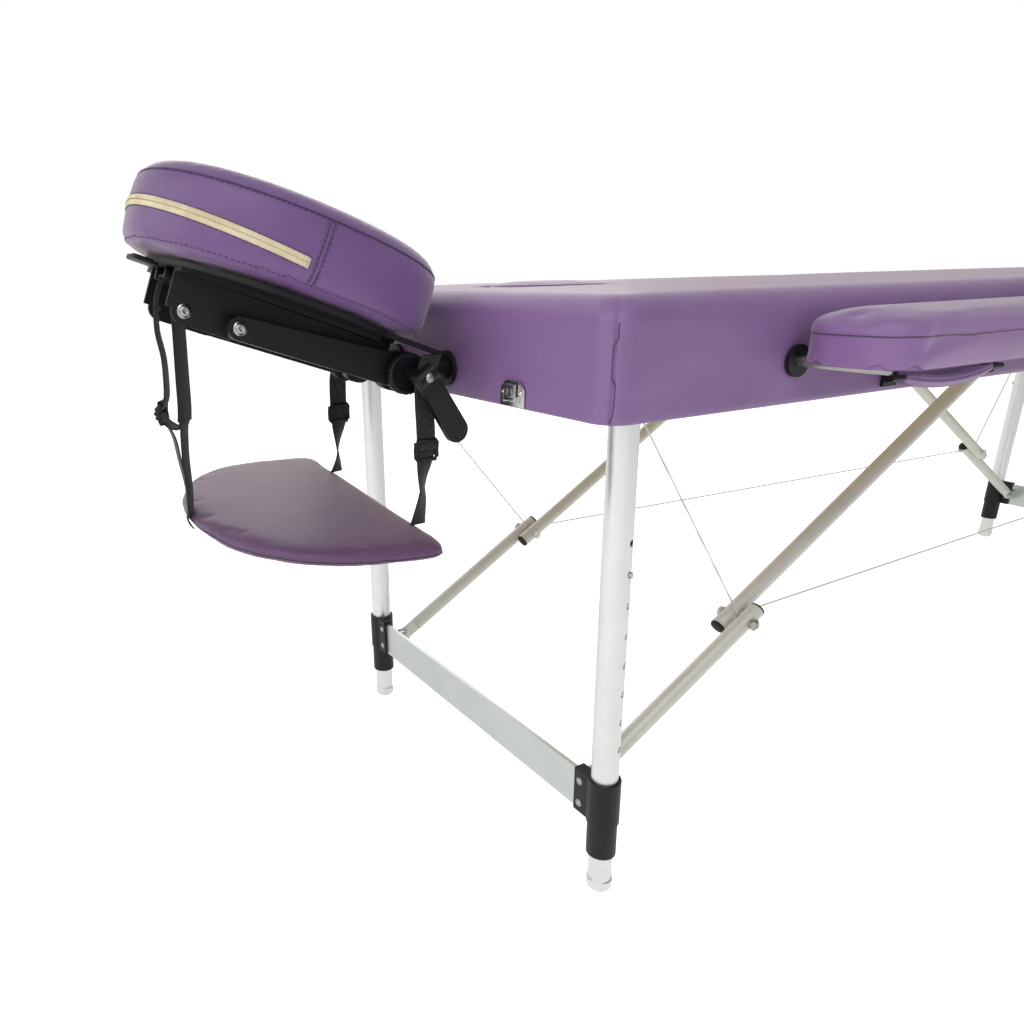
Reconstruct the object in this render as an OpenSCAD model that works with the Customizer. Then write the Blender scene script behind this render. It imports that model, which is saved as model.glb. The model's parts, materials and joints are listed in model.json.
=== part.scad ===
// Folding massage table with two upholstered halves, folding aluminium legs,
// a tilting head cradle, a hanging arm sling and slide-out side armrests.
// The fold line lies across the middle, +X runs towards the foot end, +Z is up.

/* [Table top] */
// Length of the open table, end to end
table_len = 1850; // [1750:10:1950]
// Width of the table
table_w = 600; // [580:5:760]
// Height of the underside above the floor
underside_z = 534; // [520:1:600]
// Height of the upholstered side, up to where the top edge begins to round
side_h = 84; // [74:1:100]
// Rounding of the upholstered top edge
edge_r = 22; // [12:1:30]
// Rise of the top's crown over the edge
top_crown = 3; // [1:0.5:8]
// Radius of the table's corners in plan
corner_r = 24; // [18:1:40]
// Thickness of the foam and cover that hang over the side rails
skirt_t = 4.5; // [3:0.5:8]
// How far the upholstered sides draw in at half height
side_draw = 2; // [0:0.5:3]
// Gap between the two halves at the fold
fold_gap = 3; // [2:0.5:6]

/* [Wooden frame] */
// Thickness of the frame rails
rail_t = 16; // [12:1:24]
// Height of the frame rails
rail_h = 57; // [54:1:64]
// Thickness of the plywood deck
deck_t = 5; // [4:0.5:9]
// Length of the face hole
face_hole_len = 166; // [140:2:200]
// Width of the face hole
face_hole_w = 130; // [100:2:140]
// Distance from the head end to the middle of the face hole
face_hole_x = 172; // [160:2:220]
// Ledge of the deck under the face plug
plug_ledge = 7; // [4:1:12]
// Gap round the face plug
plug_gap = 0.5; // [0.4:0.1:1.5]

/* [Legs] */
// Distance from the end of the table to the leg pivots
leg_end = 65; // [60:1:80]
// Distance from the side of the table to the head end's legs
leg_side = 50; // [46:1:58]
// How much further in the foot end's legs stand, so that the frames nest
foot_leg_inset = 50; // [48:1:60]
// Depth of the leg pivot above the underside
pivot_rise = 20; // [18:0.5:22]
// Lean of the legs, feet towards the fold
leg_lean = 1.7; // [0.5:0.1:2.5]
// Outside diameter of the outer leg tube
leg_d = 28.6; // [26:0.2:30]
// Wall of the leg tubes
leg_wall = 1.5; // [1:0.1:2]
// Height of the top end of the outer leg tube above its pivot
leg_top = 14; // [10:1:16]
// Height of the lower end of the outer leg tube above the floor
outer_leg_z = 58; // [50:1:70]
// Height of the upper end of the inner leg tube above the floor
inner_leg_z = 396; // [390:1:402]
// Number of height holes in each leg
hole_count = 8; // [4:1:9]
// Spacing of the height holes
hole_pitch = 32.6; // [28:0.2:33]
// Height of the top hole above the floor
hole_top_z = 411; // [405:1:420]
// Diameter of the height holes
hole_d = 7; // [6.6:0.1:8]
// Turn of the hole row from the side of the table towards the fold
hole_turn = 22; // [0:1:30]
// Diameter of the rounded foot
foot_d = 27.6; // [26:0.2:29]
// Height of the foot cap
foot_h = 14; // [10:1:16]
// Rounding of the foot cap
foot_round = 6; // [3:0.5:8]

/* [Crossbars and brackets] */
// Height of the crossbar's lower edge above the floor
crossbar_z = 89; // [88:1:96]
// Height of the crossbar
crossbar_h = 49; // [30:1:50]
// Thickness of the crossbar
crossbar_t = 5; // [3:0.5:6]
// How far the crossbar's outer face stands out from the leg's middle line
crossbar_out = 9; // [8:0.5:10]
// Diameter of the corner bracket's sleeve
sleeve_d = 35; // [33:0.5:36]
// Reach of the corner bracket along the crossbar, from the leg's middle line
socket_reach = 32; // [26:1:32]
// Diameter of the lower collar
collar_d = 32; // [31.6:0.1:33]
// Height of the lower collar's bottom above the floor
collar_z = 48; // [46.8:0.1:52]

/* [Folding braces] */
// Outside diameter of the brace tubes
brace_d = 19; // [16:0.5:20]
// Wall of the brace tubes
brace_wall = 1.2; // [1:0.1:1.5]
// Distance along the leg from its pivot to the lower brace's pivot
brace_drop = 438; // [430:1:445]
// Distance of the lower brace's pivot from the leg's middle line
brace_out = 18; // [16:0.5:20]
// Distance from the fold line to the upper brace's pivot
brace_fold = 70; // [62:1:90]
// Distance from the leg's middle plane to the lower brace's middle plane
brace_in = 38; // [37:0.5:42]
// Spacing of the lower and upper brace's middle planes
brace_step = 22; // [21:0.5:24]
// How far the tubes run past the knee bolt
brace_past = 21; // [16:1:24]
// Diameter of the knee bolt
knee_bolt_d = 8; // [6:0.5:9]
// Thickness of the flattened brace end
tongue_t = 6; // [4:0.5:8]
// Length of the flattened brace end
tongue_len = 26; // [22:1:36]
// Diameter of the steel stay cables
cable_d = 2; // [1.6:0.2:2.4]

/* [Fold hinges] */
// Distance of the fold hinges from the middle of the table
hinge_y = 205; // [195:1:215]
// Width of a fold hinge along the fold line
hinge_w = 70; // [50:2:80]
// Length of a hinge leaf away from the fold line
leaf_len = 30; // [26:1:40]
// Thickness of a hinge leaf
leaf_t = 1.5; // [1:0.1:2]
// Diameter of the hinge knuckles
knuckle_d = 6.4; // [5:0.2:6.4]
// Diameter of the hinge pins
hinge_pin_d = 3; // [2:0.2:3.6]
// Depth of the fold axis below the underside
fold_drop = 3.5; // [3.4:0.1:4.5]

/* [Head cradle] */
// Distance from the head end to the middle of the head cushion
cradle_x = 172; // [168:1:185]
// Height of the head cushion's bottom above the underside, at its middle
cradle_rise = 102; // [98:1:110]
// Tilt of the head cushion and its platform
cradle_tilt = 20; // [17:0.5:22]
// Half length of the head cushion
cushion_a = 158; // [150:1:165]
// Half width of the head cushion
cushion_b = 127; // [118:1:140]
// Width of the cushion's padded ring
cushion_w = 74; // [62:1:80]
// Height of the cushion without its crown
cushion_h = 76; // [60:1:84]
// Rise of the cushion's crown
cushion_crown = 9; // [3:0.5:14]
// Rounding of the cushion's edges
cushion_round = 17; // [10:1:24]
// Half angle of the opening towards the table
cushion_open = 13; // [10:0.5:20]
// Squareness of the cushion's oval
cushion_square = 2.3; // [2:0.1:3]
// Thickness of the platform plate
platform_t = 5; // [3:0.5:6]
// Half length of the platform plate
platform_a = 130; // [120:1:135]
// Half width of the platform plate
platform_b = 110; // [106:1:115]
// Distance of the dowels from the middle of the table
dowel_y = 54; // [50:1:60]
// Height of the dowels above the underside
dowel_rise = 28; // [26:0.5:30]
// Diameter of the dowels
dowel_d = 23; // [20:0.5:25]
// Length of dowel inside the table
dowel_in = 118; // [110:1:130]
// Distance from the head end to the cradle's hub
hub_x = 60; // [56:1:64]
// Diameter of the hub
hub_d = 41; // [36:0.5:41]
// Length of the cradle arms between hub and tilt bolt
arm_len = 179; // [170:1:185]
// Rise angle of the cradle arms
arm_angle = 17; // [14:0.5:18]
// Thickness of a cradle arm
arm_t = 16; // [10:0.5:16]
// Diameter of the tilt bolts
tilt_bolt_d = 8; // [6:0.5:9]

/* [Arm sling] */
// Height of the sling pad's straight edge above the floor
sling_z = 410; // [390:1:440]
// Half width of the sling pad
sling_b = 172; // [150:1:175]
// Depth of the sling pad from its straight edge
sling_a = 218; // [200:1:255]
// Thickness of the sling pad
sling_t = 16; // [12:0.5:22]
// Distance from the head end to the sling pad's straight edge
sling_x = 60; // [56:1:75]
// Half spacing of the two inner straps at the platform
strap_y = 85; // [82:1:88]
// Width of the straps
strap_w = 20; // [15:0.5:22]
// Thickness of the strap webbing
strap_t = 1.6; // [1.2:0.1:2]

/* [Armrests] */
// Length of a side armrest
rest_len = 629; // [600:1:640]
// Width of a side armrest
rest_w = 104; // [90:1:140]
// Distance from the fold line to the armrests
rest_fold = 97; // [90:1:115]
// Gap between the table's side and an armrest
rest_gap = 8; // [6:0.5:15]
// Height of the upholstered side of an armrest
rest_side_h = 31; // [26:1:38]
// Rounding of an armrest's top edge
rest_edge_r = 12; // [6:1:14]
// Crown of an armrest
rest_crown = 4; // [1:0.5:6]
// Radius of an armrest's corners in plan
rest_corner_r = 34; // [24:1:44]
// Thickness of an armrest's board
rest_board_t = 10; // [8:0.5:12]
// Diameter of the armrest rods
rod_d = 11; // [9:0.5:11]
// Height of the armrest rods above the underside
rod_rise = 41; // [40.6:0.1:44]
// Distance of a rod from the armrest's end
rod_end = 26; // [18:1:60]
// Length of rod inside the table
rod_in = 66; // [60:1:68]

/* [Latches and handles] */
// Distance of the latches from the middle of the table
latch_y = 170; // [150:1:180]
// Width of a latch plate
latch_w = 37; // [30:1:40]
// Height of a latch plate
latch_h = 24; // [20:1:28]
// Distance from the head end to the middle of a carry handle
handle_x = 465; // [450:1:500]
// Length of a carry handle between its tabs
handle_len = 161; // [140:1:200]
// Droop of a carry handle below its tabs
handle_droop = 10; // [6:0.5:12]
// Width of a handle tab
tab_w = 22; // [16:1:26]

/* [Hidden] */

$fn = 40;
// Overrun of cuts past the face that they open
over = 1;
// Radial clearance of a running fit
run_fit = 0.06;
// Clearance between pieces that move against each other
free_gap = 0.3;
// Facets of a hull's own children
hull_fn = 32;

purple = "#7b5f96";
dark_purple = "#6c5088";
wood = "#b9925f";
alu = "#b9bcbd";
brace_alu = "#c3c1ba";
zinc = "#9da0a3";
chrome = "#d5d7da";
black = "#1d1d20";
webbing = "#141416";

half_len = table_len / 2;
half_w = table_w / 2;
cavity_h = rail_h + deck_t;
half_mid_x = (half_len + fold_gap / 2) / 2;
half_hx = (half_len - fold_gap / 2) / 2;
leg_r = leg_d / 2;
leg_bore_r = leg_r - leg_wall;
inner_r = leg_bore_r - run_fit;
pivot_z = underside_z + pivot_rise;
foot_r = foot_d / 2;
leg_x = half_len - leg_end;
head_leg_y = half_w - leg_side;
foot_leg_y = head_leg_y - foot_leg_inset;
brace_reach = leg_x - brace_fold;
// Distance along the leg from its pivot to the foot's lowest round
leg_len = foot_round + (pivot_z - foot_round - (foot_r - foot_round) * sin(leg_lean)) / cos(leg_lean);
brace_r = brace_d / 2;
knee_bolt_r = knee_bolt_d / 2;
// Thickness of a latch's plate and of its hook
latch_plate_t = 1.5;
hook_t = 3;
cradle_mid_x = half_len + cradle_x;
cradle_z = underside_z + cradle_rise;
dowel_z = underside_z + dowel_rise;
hub_at_x = half_len + hub_x;
tilt_at_x = hub_at_x + arm_len * cos(arm_angle);
tilt_at_z = dowel_z + arm_len * sin(arm_angle);
rod_z = underside_z + rod_rise;
rod_r = rod_d / 2;

// The object reaches from the cushion's raised end to the latch keepers at the foot end.
// The middle of that length is set at x = 0.
cushion_reach = (cushion_a - cushion_round) * cos(cradle_tilt) - cushion_round * sin(cradle_tilt)
    + cushion_round;
x_shift = (cradle_mid_x + cushion_reach - half_len - latch_plate_t - hook_t) / 2;

// The braces form a four-bar linkage with the leg and the table half. It is straight
// when the leg is down and folded onto itself when the leg lies in the half.
brace_low_x = -leg_x + brace_out * cos(leg_lean) + brace_drop * sin(leg_lean);
brace_low_z = pivot_z + brace_out * sin(leg_lean) - brace_drop * cos(leg_lean);
brace_top_x = -leg_x + brace_reach;
brace_top_z = pivot_z + brace_out;
brace_open = norm([brace_top_x - brace_low_x, brace_top_z - brace_low_z]);
brace_shut = brace_reach - brace_drop;
upper_len = (brace_open + brace_shut) / 2;
lower_len = (brace_open - brace_shut) / 2;
brace_angle = atan2(brace_top_z - brace_low_z, brace_top_x - brace_low_x);
knee_x = brace_low_x + lower_len * cos(brace_angle);
knee_z = brace_low_z + lower_len * sin(brace_angle);

module head_half() { translate([x_shift, 0, 0]) children(); }
module foot_half() { translate([x_shift, 0, 0]) mirror([1, 0, 0]) children(); }
module both_sides() {
    children();
    mirror([0, 1, 0]) children();
}

// Places its children in the leg's own frame: origin at the pivot, the leg along -Z
module leg_space() { translate([-leg_x, 0, pivot_z]) rotate([0, -leg_lean, 0]) children(); }

// Lays its children's X axis along a direction in the XZ plane
module along(x, z, angle) { translate([x, 0, z]) rotate([0, -angle, 0]) children(); }

module bar_y(r, from_y, to_y) {
    translate([0, from_y, 0]) rotate([-90, 0, 0]) cylinder(r = r, h = to_y - from_y);
}
module bar_x(r, from_x, to_x) {
    translate([from_x, 0, 0]) rotate([0, 90, 0]) cylinder(r = r, h = to_x - from_x);
}

module box(from, to) { translate(from) cube(to - from); }

// A plate with round corners, from a low corner to a high corner
module round_plate(from, to, r) {
    box([from.x + r, from.y, from.z], [to.x - r, to.y, to.z]);
    box([from.x, from.y + r, from.z], [to.x, to.y - r, to.z]);
    for (x = [from.x + r, to.x - r], y = [from.y + r, to.y - r])
        translate([x, y, from.z]) cylinder(r = r, h = to.z - from.z);
}

// A prism with half-round ends along X
module slot_prism(len, w, from_z, to_z) {
    straight = len - w;
    box([-straight / 2, -w / 2, from_z], [straight / 2, w / 2, to_z]);
    for (s = [-1, 1])
        translate([s * straight / 2, 0, from_z]) cylinder(d = w, h = to_z - from_z);
}

// A straight round rod between two points
module rod_between(p, q, r) {
    d = q - p;
    translate(p) rotate([0, acos(d.z / norm(d)), atan2(d.y, d.x)]) cylinder(r = r, h = norm(d), $fn = 16);
}

// Outline of a rectangle with round corners, counter-clockwise
arc_steps = 4;
edge_steps = 4;
function corner_arc(cx, cy, r, a) =
    [for (i = [0 : arc_steps]) let (t = a + 90 * i / arc_steps) [cx + r * cos(t), cy + r * sin(t)]];
function edge_between(p, q) = [for (i = [1 : edge_steps - 1]) p + (q - p) * i / edge_steps];
function round_outline(hx, hy, r) = let (
    c = [corner_arc(hx - r, hy - r, r, 0), corner_arc(r - hx, hy - r, r, 90),
        corner_arc(r - hx, r - hy, r, 180), corner_arc(hx - r, r - hy, r, 270)])
    [for (k = [0 : 3]) each concat(c[k], edge_between(c[k][arc_steps], c[(k + 1) % 4][0]))];

// Outline of a half moon: a straight edge at x = 0, the round side towards -X
moon_steps = 30;
// How square the moon is: the power of the sine that it follows
moon_square = 0.6;
function moon_outline(a, b) = concat(
    [for (i = [0 : moon_steps]) let (t = 180 * i / moon_steps)
        [-a * pow(sin(t), moon_square), b * cos(t)]],
    [for (i = [1 : edge_steps - 1]) [0, -b + 2 * b * i / edge_steps]]);

// One ring of an outline that is drawn in by d and laid at height z
function ring_at(outline, hx, hy, d, z) =
    [for (p = outline) [p.x * (hx - d) / hx, p.y * (hy - d) / hy, z]];

// Skins a stack of rings with triangles, and closes both ends
module skin(rings) {
    n = len(rings[0]);
    m = len(rings);
    function middle(ring) = [for (k = [0 : 2]) [for (p = ring) p[k]] * [for (p = ring) 1] / n];
    points = concat([for (ring = rings) each ring], [middle(rings[0]), middle(rings[m - 1])]);
    sides = [for (i = [0 : m - 2], j = [0 : n - 1]) let (
        a = i * n + j, b = i * n + (j + 1) % n) each [[a, a + n, b + n], [a, b + n, b]]];
    low = [for (j = [0 : n - 1]) [m * n, j, (j + 1) % n]];
    high = [for (j = [0 : n - 1]) [m * n + 1, (m - 1) * n + (j + 1) % n, (m - 1) * n + j]];
    polyhedron(points, concat(sides, low, high));
}

// An upholstered slab: drawn-in sides, a round top edge and a crown, over a hollow for its board
crown_shares = [0.2, 0.5, 0.8];
side_steps = 4;
round_steps = 4;
module upholstery(hx, hy, r, z, side, edge, crown, draw, skirt, hollow) {
    outline = round_outline(hx, hy, r);
    reach = min(hx, hy) - edge;
    profile = concat(
        [[skirt, z + hollow], [skirt, z]],
        [for (i = [0 : side_steps]) let (t = i / side_steps) [draw * sin(180 * t), z + side * t]],
        [for (i = [1 : round_steps]) let (a = 90 * i / round_steps)
            [edge * (1 - cos(a)), z + side + edge * sin(a)]],
        [for (s = crown_shares) [edge + reach * s, z + side + edge + crown * (1 - pow(1 - s, 2))]]);
    skin([for (p = profile) ring_at(outline, hx, hy, p[0], p[1])]);
}

// Table halves, drawn for the head half, which lies towards -X

module half_upholstery() {
    translate([-half_mid_x, 0, 0])
        upholstery(half_hx, half_w, corner_r, underside_z, side_h, edge_r, top_crown,
            side_draw, skirt_t, cavity_h);
}

// The frame's corners are rounder than the cover's, so that they clear its facets
frame_corner_r = corner_r + 3 * free_gap + skirt_t / 2;
frame_from = [-half_len + skirt_t, -half_w + skirt_t];
frame_to = [-fold_gap / 2 - skirt_t, half_w - skirt_t];

module half_deck() {
    color(wood) round_plate(
        [frame_from.x, frame_from.y, underside_z + rail_h],
        [frame_to.x, frame_to.y, underside_z + cavity_h], frame_corner_r);
}

module half_rails() {
    difference() {
        round_plate([frame_from.x, frame_from.y, underside_z],
            [frame_to.x, frame_to.y, underside_z + rail_h], frame_corner_r);
        box([frame_from.x + rail_t, frame_from.y + rail_t, underside_z - over],
            [frame_to.x - rail_t, frame_to.y - rail_t, underside_z + rail_h + over]);
    }
}

// Sockets for the cradle's dowels and the armrests' rods
socket_wall = 2.5;
flange_t = 4;
flange_wall = 7;
socket_seat = 0.05;
dowel_socket_r = dowel_d / 2 + run_fit + socket_wall;
// Extra wall of the armrest rods' sockets
rod_socket_more = 2.5;
rod_socket_r = rod_d / 2 + run_fit + socket_wall + rod_socket_more;
rod_xs = [-(rest_fold + rest_len - rod_end), -(rest_fold + rod_end)];

module dowel_places() { for (s = [-1, 1]) translate([-half_len, s * dowel_y, dowel_z]) children(); }
module rod_places() {
    for (x = rod_xs, s = [-1, 1])
        translate([x, s * half_w, rod_z]) rotate([0, 0, s * -90]) children();
}

// Holes through the rails and the skirt, along the sockets' own X axis
socket_past = 6;
socket_len = skirt_t + rail_t + socket_past;
module socket_holes(extra) {
    dowel_places() bar_x(dowel_socket_r + extra, -flange_t, socket_len + over);
    rod_places() bar_x(rod_socket_r + extra, -flange_t, socket_len + over);
}

module head_cushion() {
    color(purple) head_half() difference() {
        half_upholstery();
        translate([-half_len + face_hole_x, 0, 0])
            slot_prism(face_hole_len, face_hole_w, underside_z + cavity_h - over,
                underside_z + side_h + edge_r + top_crown + over);
        socket_holes(socket_seat);
    }
}
module foot_cushion() { color(purple) foot_half() half_upholstery(); }

module head_deck() {
    color(wood) head_half() difference() {
        half_deck();
        translate([-half_len + face_hole_x, 0, 0])
            slot_prism(face_hole_len - 2 * plug_ledge, face_hole_w - 2 * plug_ledge,
                underside_z + rail_h - over, underside_z + cavity_h + over);
    }
}
module foot_deck() { foot_half() half_deck(); }

module head_rails() {
    color(wood) head_half() difference() {
        half_rails();
        socket_holes(socket_seat);
    }
}
module foot_rails() { color(wood) foot_half() half_rails(); }

module socket(bore_r, out_r) {
    difference() {
        union() {
            bar_x(out_r, -flange_t / 2, socket_len);
            bar_x(out_r + flange_wall - socket_wall, -flange_t, 0);
        }
        bar_x(bore_r, -flange_t - over, socket_len + over);
    }
}
module socket_grommets() {
    color(black) head_half() {
        dowel_places() socket(dowel_d / 2 + run_fit, dowel_socket_r);
        rod_places() socket(rod_d / 2 + run_fit, rod_socket_r);
    }
}

// The face plug, which lifts out of the face hole
plug_h = side_h + edge_r - cavity_h;
plug_edge_r = 12;
module face_plug() {
    hx = face_hole_len / 2 - plug_gap;
    hy = face_hole_w / 2 - plug_gap;
    outline = round_outline(hx, hy, hy - 1);
    z = underside_z + cavity_h;
    profile = concat([[0, z], [0, z + plug_h - plug_edge_r]],
        [for (i = [1 : round_steps]) let (a = 90 * i / round_steps)
            [plug_edge_r * (1 - cos(a)), z + plug_h - plug_edge_r * (1 - sin(a))]],
        [[hy * 0.6, z + plug_h + top_crown]]);
    color(purple) head_half() translate([-half_len + face_hole_x, 0, 0])
        skin([for (p = profile) ring_at(outline, hx, hy, p[0], p[1])]);
}

// Fold hinges under the two halves
knuckle_count = 5;
knuckle_w = hinge_w / knuckle_count;
axis_z = underside_z - fold_drop;
module leaf(first) {
    both_sides() translate([0, hinge_y - hinge_w / 2, 0]) difference() {
        union() {
            box([-leaf_len, 0, underside_z - leaf_t], [-knuckle_d / 2 - leaf_t, hinge_w, underside_z]);
            for (k = [first : 2 : knuckle_count - 1]) {
                low = k * knuckle_w + free_gap / 2;
                high = (k + 1) * knuckle_w - free_gap / 2;
                translate([0, 0, axis_z]) bar_y(knuckle_d / 2, low, high);
                box([-knuckle_d / 2 - leaf_t - over, low, underside_z - leaf_t], [0, high,
                    underside_z - leaf_t / 3]);
            }
        }
        translate([0, 0, axis_z]) bar_y(hinge_pin_d / 2 + run_fit, -over, hinge_w + over);
    }
}
module head_hinge_leaves() { color(zinc) head_half() leaf(0); }
module foot_hinge_leaves() { color(zinc) foot_half() leaf(1); }
module hinge_pins() {
    color(zinc) head_half() both_sides()
        translate([0, 0, axis_z]) bar_y(hinge_pin_d / 2, hinge_y - hinge_w / 2, hinge_y + hinge_w / 2);
}

// Steel brackets that carry the legs and the upper braces
bracket_t = 2.5;
bracket_x = 15;
bracket_drop = 11;
pivot_bolt_r = 4;
bolt_head_r = 6.5;
bolt_head_t = 4;
brace_bolt_r = 3;
module fork(x, z, y, inner, bolt_r) {
    top = underside_z + rail_h;
    translate([x, -y, 0]) {
        box([-bracket_x, -inner - bracket_t, top - bracket_t], [bracket_x, inner + bracket_t, top]);
        for (s = [-1, 1]) translate([0, s * (inner + bracket_t / 2), 0]) {
            box([-bracket_x, -bracket_t / 2, z], [bracket_x, bracket_t / 2, top]);
            translate([0, 0, z]) bar_y(bracket_drop, -bracket_t / 2, bracket_t / 2);
        }
        translate([0, 0, z]) {
            bar_y(bolt_r, -inner - bracket_t, inner + bracket_t);
            for (s = [-1, 1]) translate([0, s * (inner + bracket_t + bolt_head_t / 2), 0])
                bar_y(bolt_head_r, -bolt_head_t / 2, bolt_head_t / 2);
        }
    }
}
// Room between a tube and the cheeks of its bracket
fork_gap = 1;
module half_brackets(y) {
    both_sides() {
        fork(-leg_x, pivot_z, y, leg_r + fork_gap, pivot_bolt_r);
        fork(brace_top_x, brace_top_z, y - brace_in - brace_step, brace_r + fork_gap, brace_bolt_r);
    }
}
module head_brackets() { color(zinc) head_half() half_brackets(head_leg_y); }
module foot_brackets() { color(zinc) foot_half() half_brackets(foot_leg_y); }

// Leg frames

module hole_axis(from_r, to_r, r) {
    rotate([0, 0, -90 + hole_turn]) bar_x(r, from_r, to_r);
}
module outer_legs(y) {
    color(alu) both_sides() leg_space() translate([0, -y, 0]) difference() {
        translate([0, 0, outer_leg_z - leg_len]) cylinder(r = leg_r, h = leg_len - outer_leg_z + leg_top);
        translate([0, 0, outer_leg_z - leg_len - over])
            cylinder(r = leg_bore_r, h = leg_len - outer_leg_z + leg_top + 2 * over);
        bar_y(pivot_bolt_r + run_fit, -leg_r - over, leg_r + over);
        for (k = [0 : hole_count - 1])
            translate([0, 0, hole_top_z - k * hole_pitch - leg_len]) hole_axis(0, leg_r + over, hole_d / 2);
    }
}
module head_outer_legs() { head_half() outer_legs(head_leg_y); }
module foot_outer_legs() { foot_half() outer_legs(foot_leg_y); }

button_r = 3;
button_z = hole_top_z - hole_pitch;
module inner_leg(y) {
    color(alu) leg_space() translate([0, -y, -leg_len]) {
        difference() {
            translate([0, 0, foot_h]) cylinder(r = inner_r, h = inner_leg_z - foot_h);
            translate([0, 0, foot_h - over]) cylinder(r = inner_r - leg_wall, h = inner_leg_z);
            translate([0, 0, button_z]) hole_axis(0, leg_r, button_r + run_fit);
        }
        rotate_extrude() {
            square([foot_r - foot_round, foot_h]);
            translate([0, foot_round]) square([foot_r, foot_h - foot_round]);
            intersection() {
                translate([foot_r - foot_round, foot_round]) circle(foot_round);
                translate([foot_r - foot_round, 0]) square([foot_round, foot_round + over]);
            }
        }
    }
}
module inner_leg_head_near() { head_half() inner_leg(head_leg_y); }
module inner_leg_head_far() { head_half() mirror([0, 1, 0]) inner_leg(head_leg_y); }
module inner_leg_foot_near() { foot_half() inner_leg(foot_leg_y); }
module inner_leg_foot_far() { foot_half() mirror([0, 1, 0]) inner_leg(foot_leg_y); }

// Snap buttons with their shoulders inside the inner tube
button_out = 2;
button_flange_t = 1.2;
button_flange_r = 4.4;
module snap_button(y) {
    seat = sqrt(pow(inner_r - leg_wall, 2) - pow(button_flange_r, 2));
    color(zinc) leg_space() translate([0, -y, button_z - leg_len]) {
        hole_axis(seat - free_gap - button_flange_t, seat - free_gap, button_flange_r);
        hole_axis(seat - free_gap - button_flange_t, leg_r + button_out, button_r);
    }
}
module snap_button_head_near() { head_half() snap_button(head_leg_y); }
module snap_button_head_far() { head_half() mirror([0, 1, 0]) snap_button(head_leg_y); }
module snap_button_foot_near() { foot_half() snap_button(foot_leg_y); }
module snap_button_foot_far() { foot_half() mirror([0, 1, 0]) snap_button(foot_leg_y); }

// Crossbar with the ears for the lower braces
ear_t = 2.5;
ear_r = 9;
bar_end_gap = 0.5;
module crossbar(y) {
    reach = y - leg_r - bar_end_gap;
    ear_gap = tongue_t / 2 + free_gap;
    color(alu) leg_space() {
        box([-crossbar_out, -reach, crossbar_z - leg_len],
            [crossbar_t - crossbar_out, reach, crossbar_z + crossbar_h - leg_len]);
        both_sides() translate([0, -y + brace_in, -brace_drop]) {
            for (s = [-1, 1]) translate([0, s * (ear_gap + ear_t / 2), 0]) {
                box([crossbar_t - crossbar_out, -ear_t / 2, -ear_r], [brace_out, ear_t / 2, ear_r]);
                translate([brace_out, 0, 0]) bar_y(ear_r, -ear_t / 2, ear_t / 2);
            }
            translate([brace_out, 0, 0]) {
                bar_y(brace_bolt_r, -ear_gap - ear_t - bolt_head_t, ear_gap + ear_t + bolt_head_t);
                for (s = [-1, 1]) translate([0, s * (ear_gap + ear_t + bolt_head_t / 4), 0])
                    bar_y(bolt_head_r, -bolt_head_t / 4, bolt_head_t / 4);
            }
        }
    }
}
module head_crossbar() { head_half() crossbar(head_leg_y); }
module foot_crossbar() { foot_half() crossbar(foot_leg_y); }

bracket_edge = 4;
bracket_skin = 4;
module corner_bracket(y) {
    low = crossbar_z - leg_len;
    high = crossbar_z + crossbar_h + bracket_edge - leg_len;
    color(black) leg_space() translate([0, -y, 0]) difference() {
        union() {
            translate([0, 0, low]) cylinder(d = sleeve_d, h = high - low);
            box([-crossbar_out - bracket_skin, 0, low], [crossbar_t - crossbar_out + bracket_skin,
                socket_reach, high]);
            box([-crossbar_out - bracket_skin, -leg_r + bracket_skin, low], [0, 0, high]);
        }
        translate([0, 0, low - over]) cylinder(r = leg_r + socket_seat, h = high - low + 2 * over);
        box([-crossbar_out - socket_seat, 0, low - over],
            [crossbar_t - crossbar_out + socket_seat, socket_reach + over, low + crossbar_h + socket_seat]);
    }
}
module head_corner_brackets() { head_half() both_sides() corner_bracket(head_leg_y); }
module foot_corner_brackets() { foot_half() both_sides() corner_bracket(foot_leg_y); }

module collar(y) {
    high = crossbar_z - free_gap - leg_len;
    color(black) leg_space() translate([0, -y, 0]) difference() {
        translate([0, 0, collar_z - leg_len]) cylinder(d = collar_d, h = high - collar_z + leg_len);
        translate([0, 0, collar_z - leg_len - over]) cylinder(r = leg_bore_r, h = crossbar_z);
        translate([0, 0, outer_leg_z - leg_len]) cylinder(r = leg_r + socket_seat, h = crossbar_z);
    }
}
module head_collars() { head_half() both_sides() collar(head_leg_y); }
module foot_collars() { foot_half() both_sides() collar(foot_leg_y); }

// Folding braces and their knees
module lower_brace(y) {
    color(brace_alu) along(brace_low_x, brace_low_z, brace_angle) translate([0, -y, 0]) difference() {
        union() {
            difference() {
                bar_x(brace_r, tongue_len, lower_len + brace_past);
                bar_x(brace_r - brace_wall, tongue_len + brace_wall, lower_len + brace_past + over);
            }
            box([0, -tongue_t / 2, -ear_r], [tongue_len + brace_wall, tongue_t / 2, ear_r]);
            bar_y(ear_r, -tongue_t / 2, tongue_t / 2);
        }
        bar_y(brace_bolt_r + run_fit, -brace_r - over, brace_r + over);
        translate([lower_len, 0, 0]) bar_y(knee_bolt_r + socket_seat, -brace_r - over, brace_r + over);
    }
}
module upper_brace(y) {
    color(brace_alu) along(brace_top_x, brace_top_z, brace_angle + 180) translate([0, -y, 0]) difference() {
        bar_x(brace_r, -brace_r, upper_len + brace_past);
        bar_x(brace_r - brace_wall, -brace_r - over, upper_len + brace_past + over);
        bar_y(brace_bolt_r + run_fit, -brace_r - over, brace_r + over);
    }
}
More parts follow.
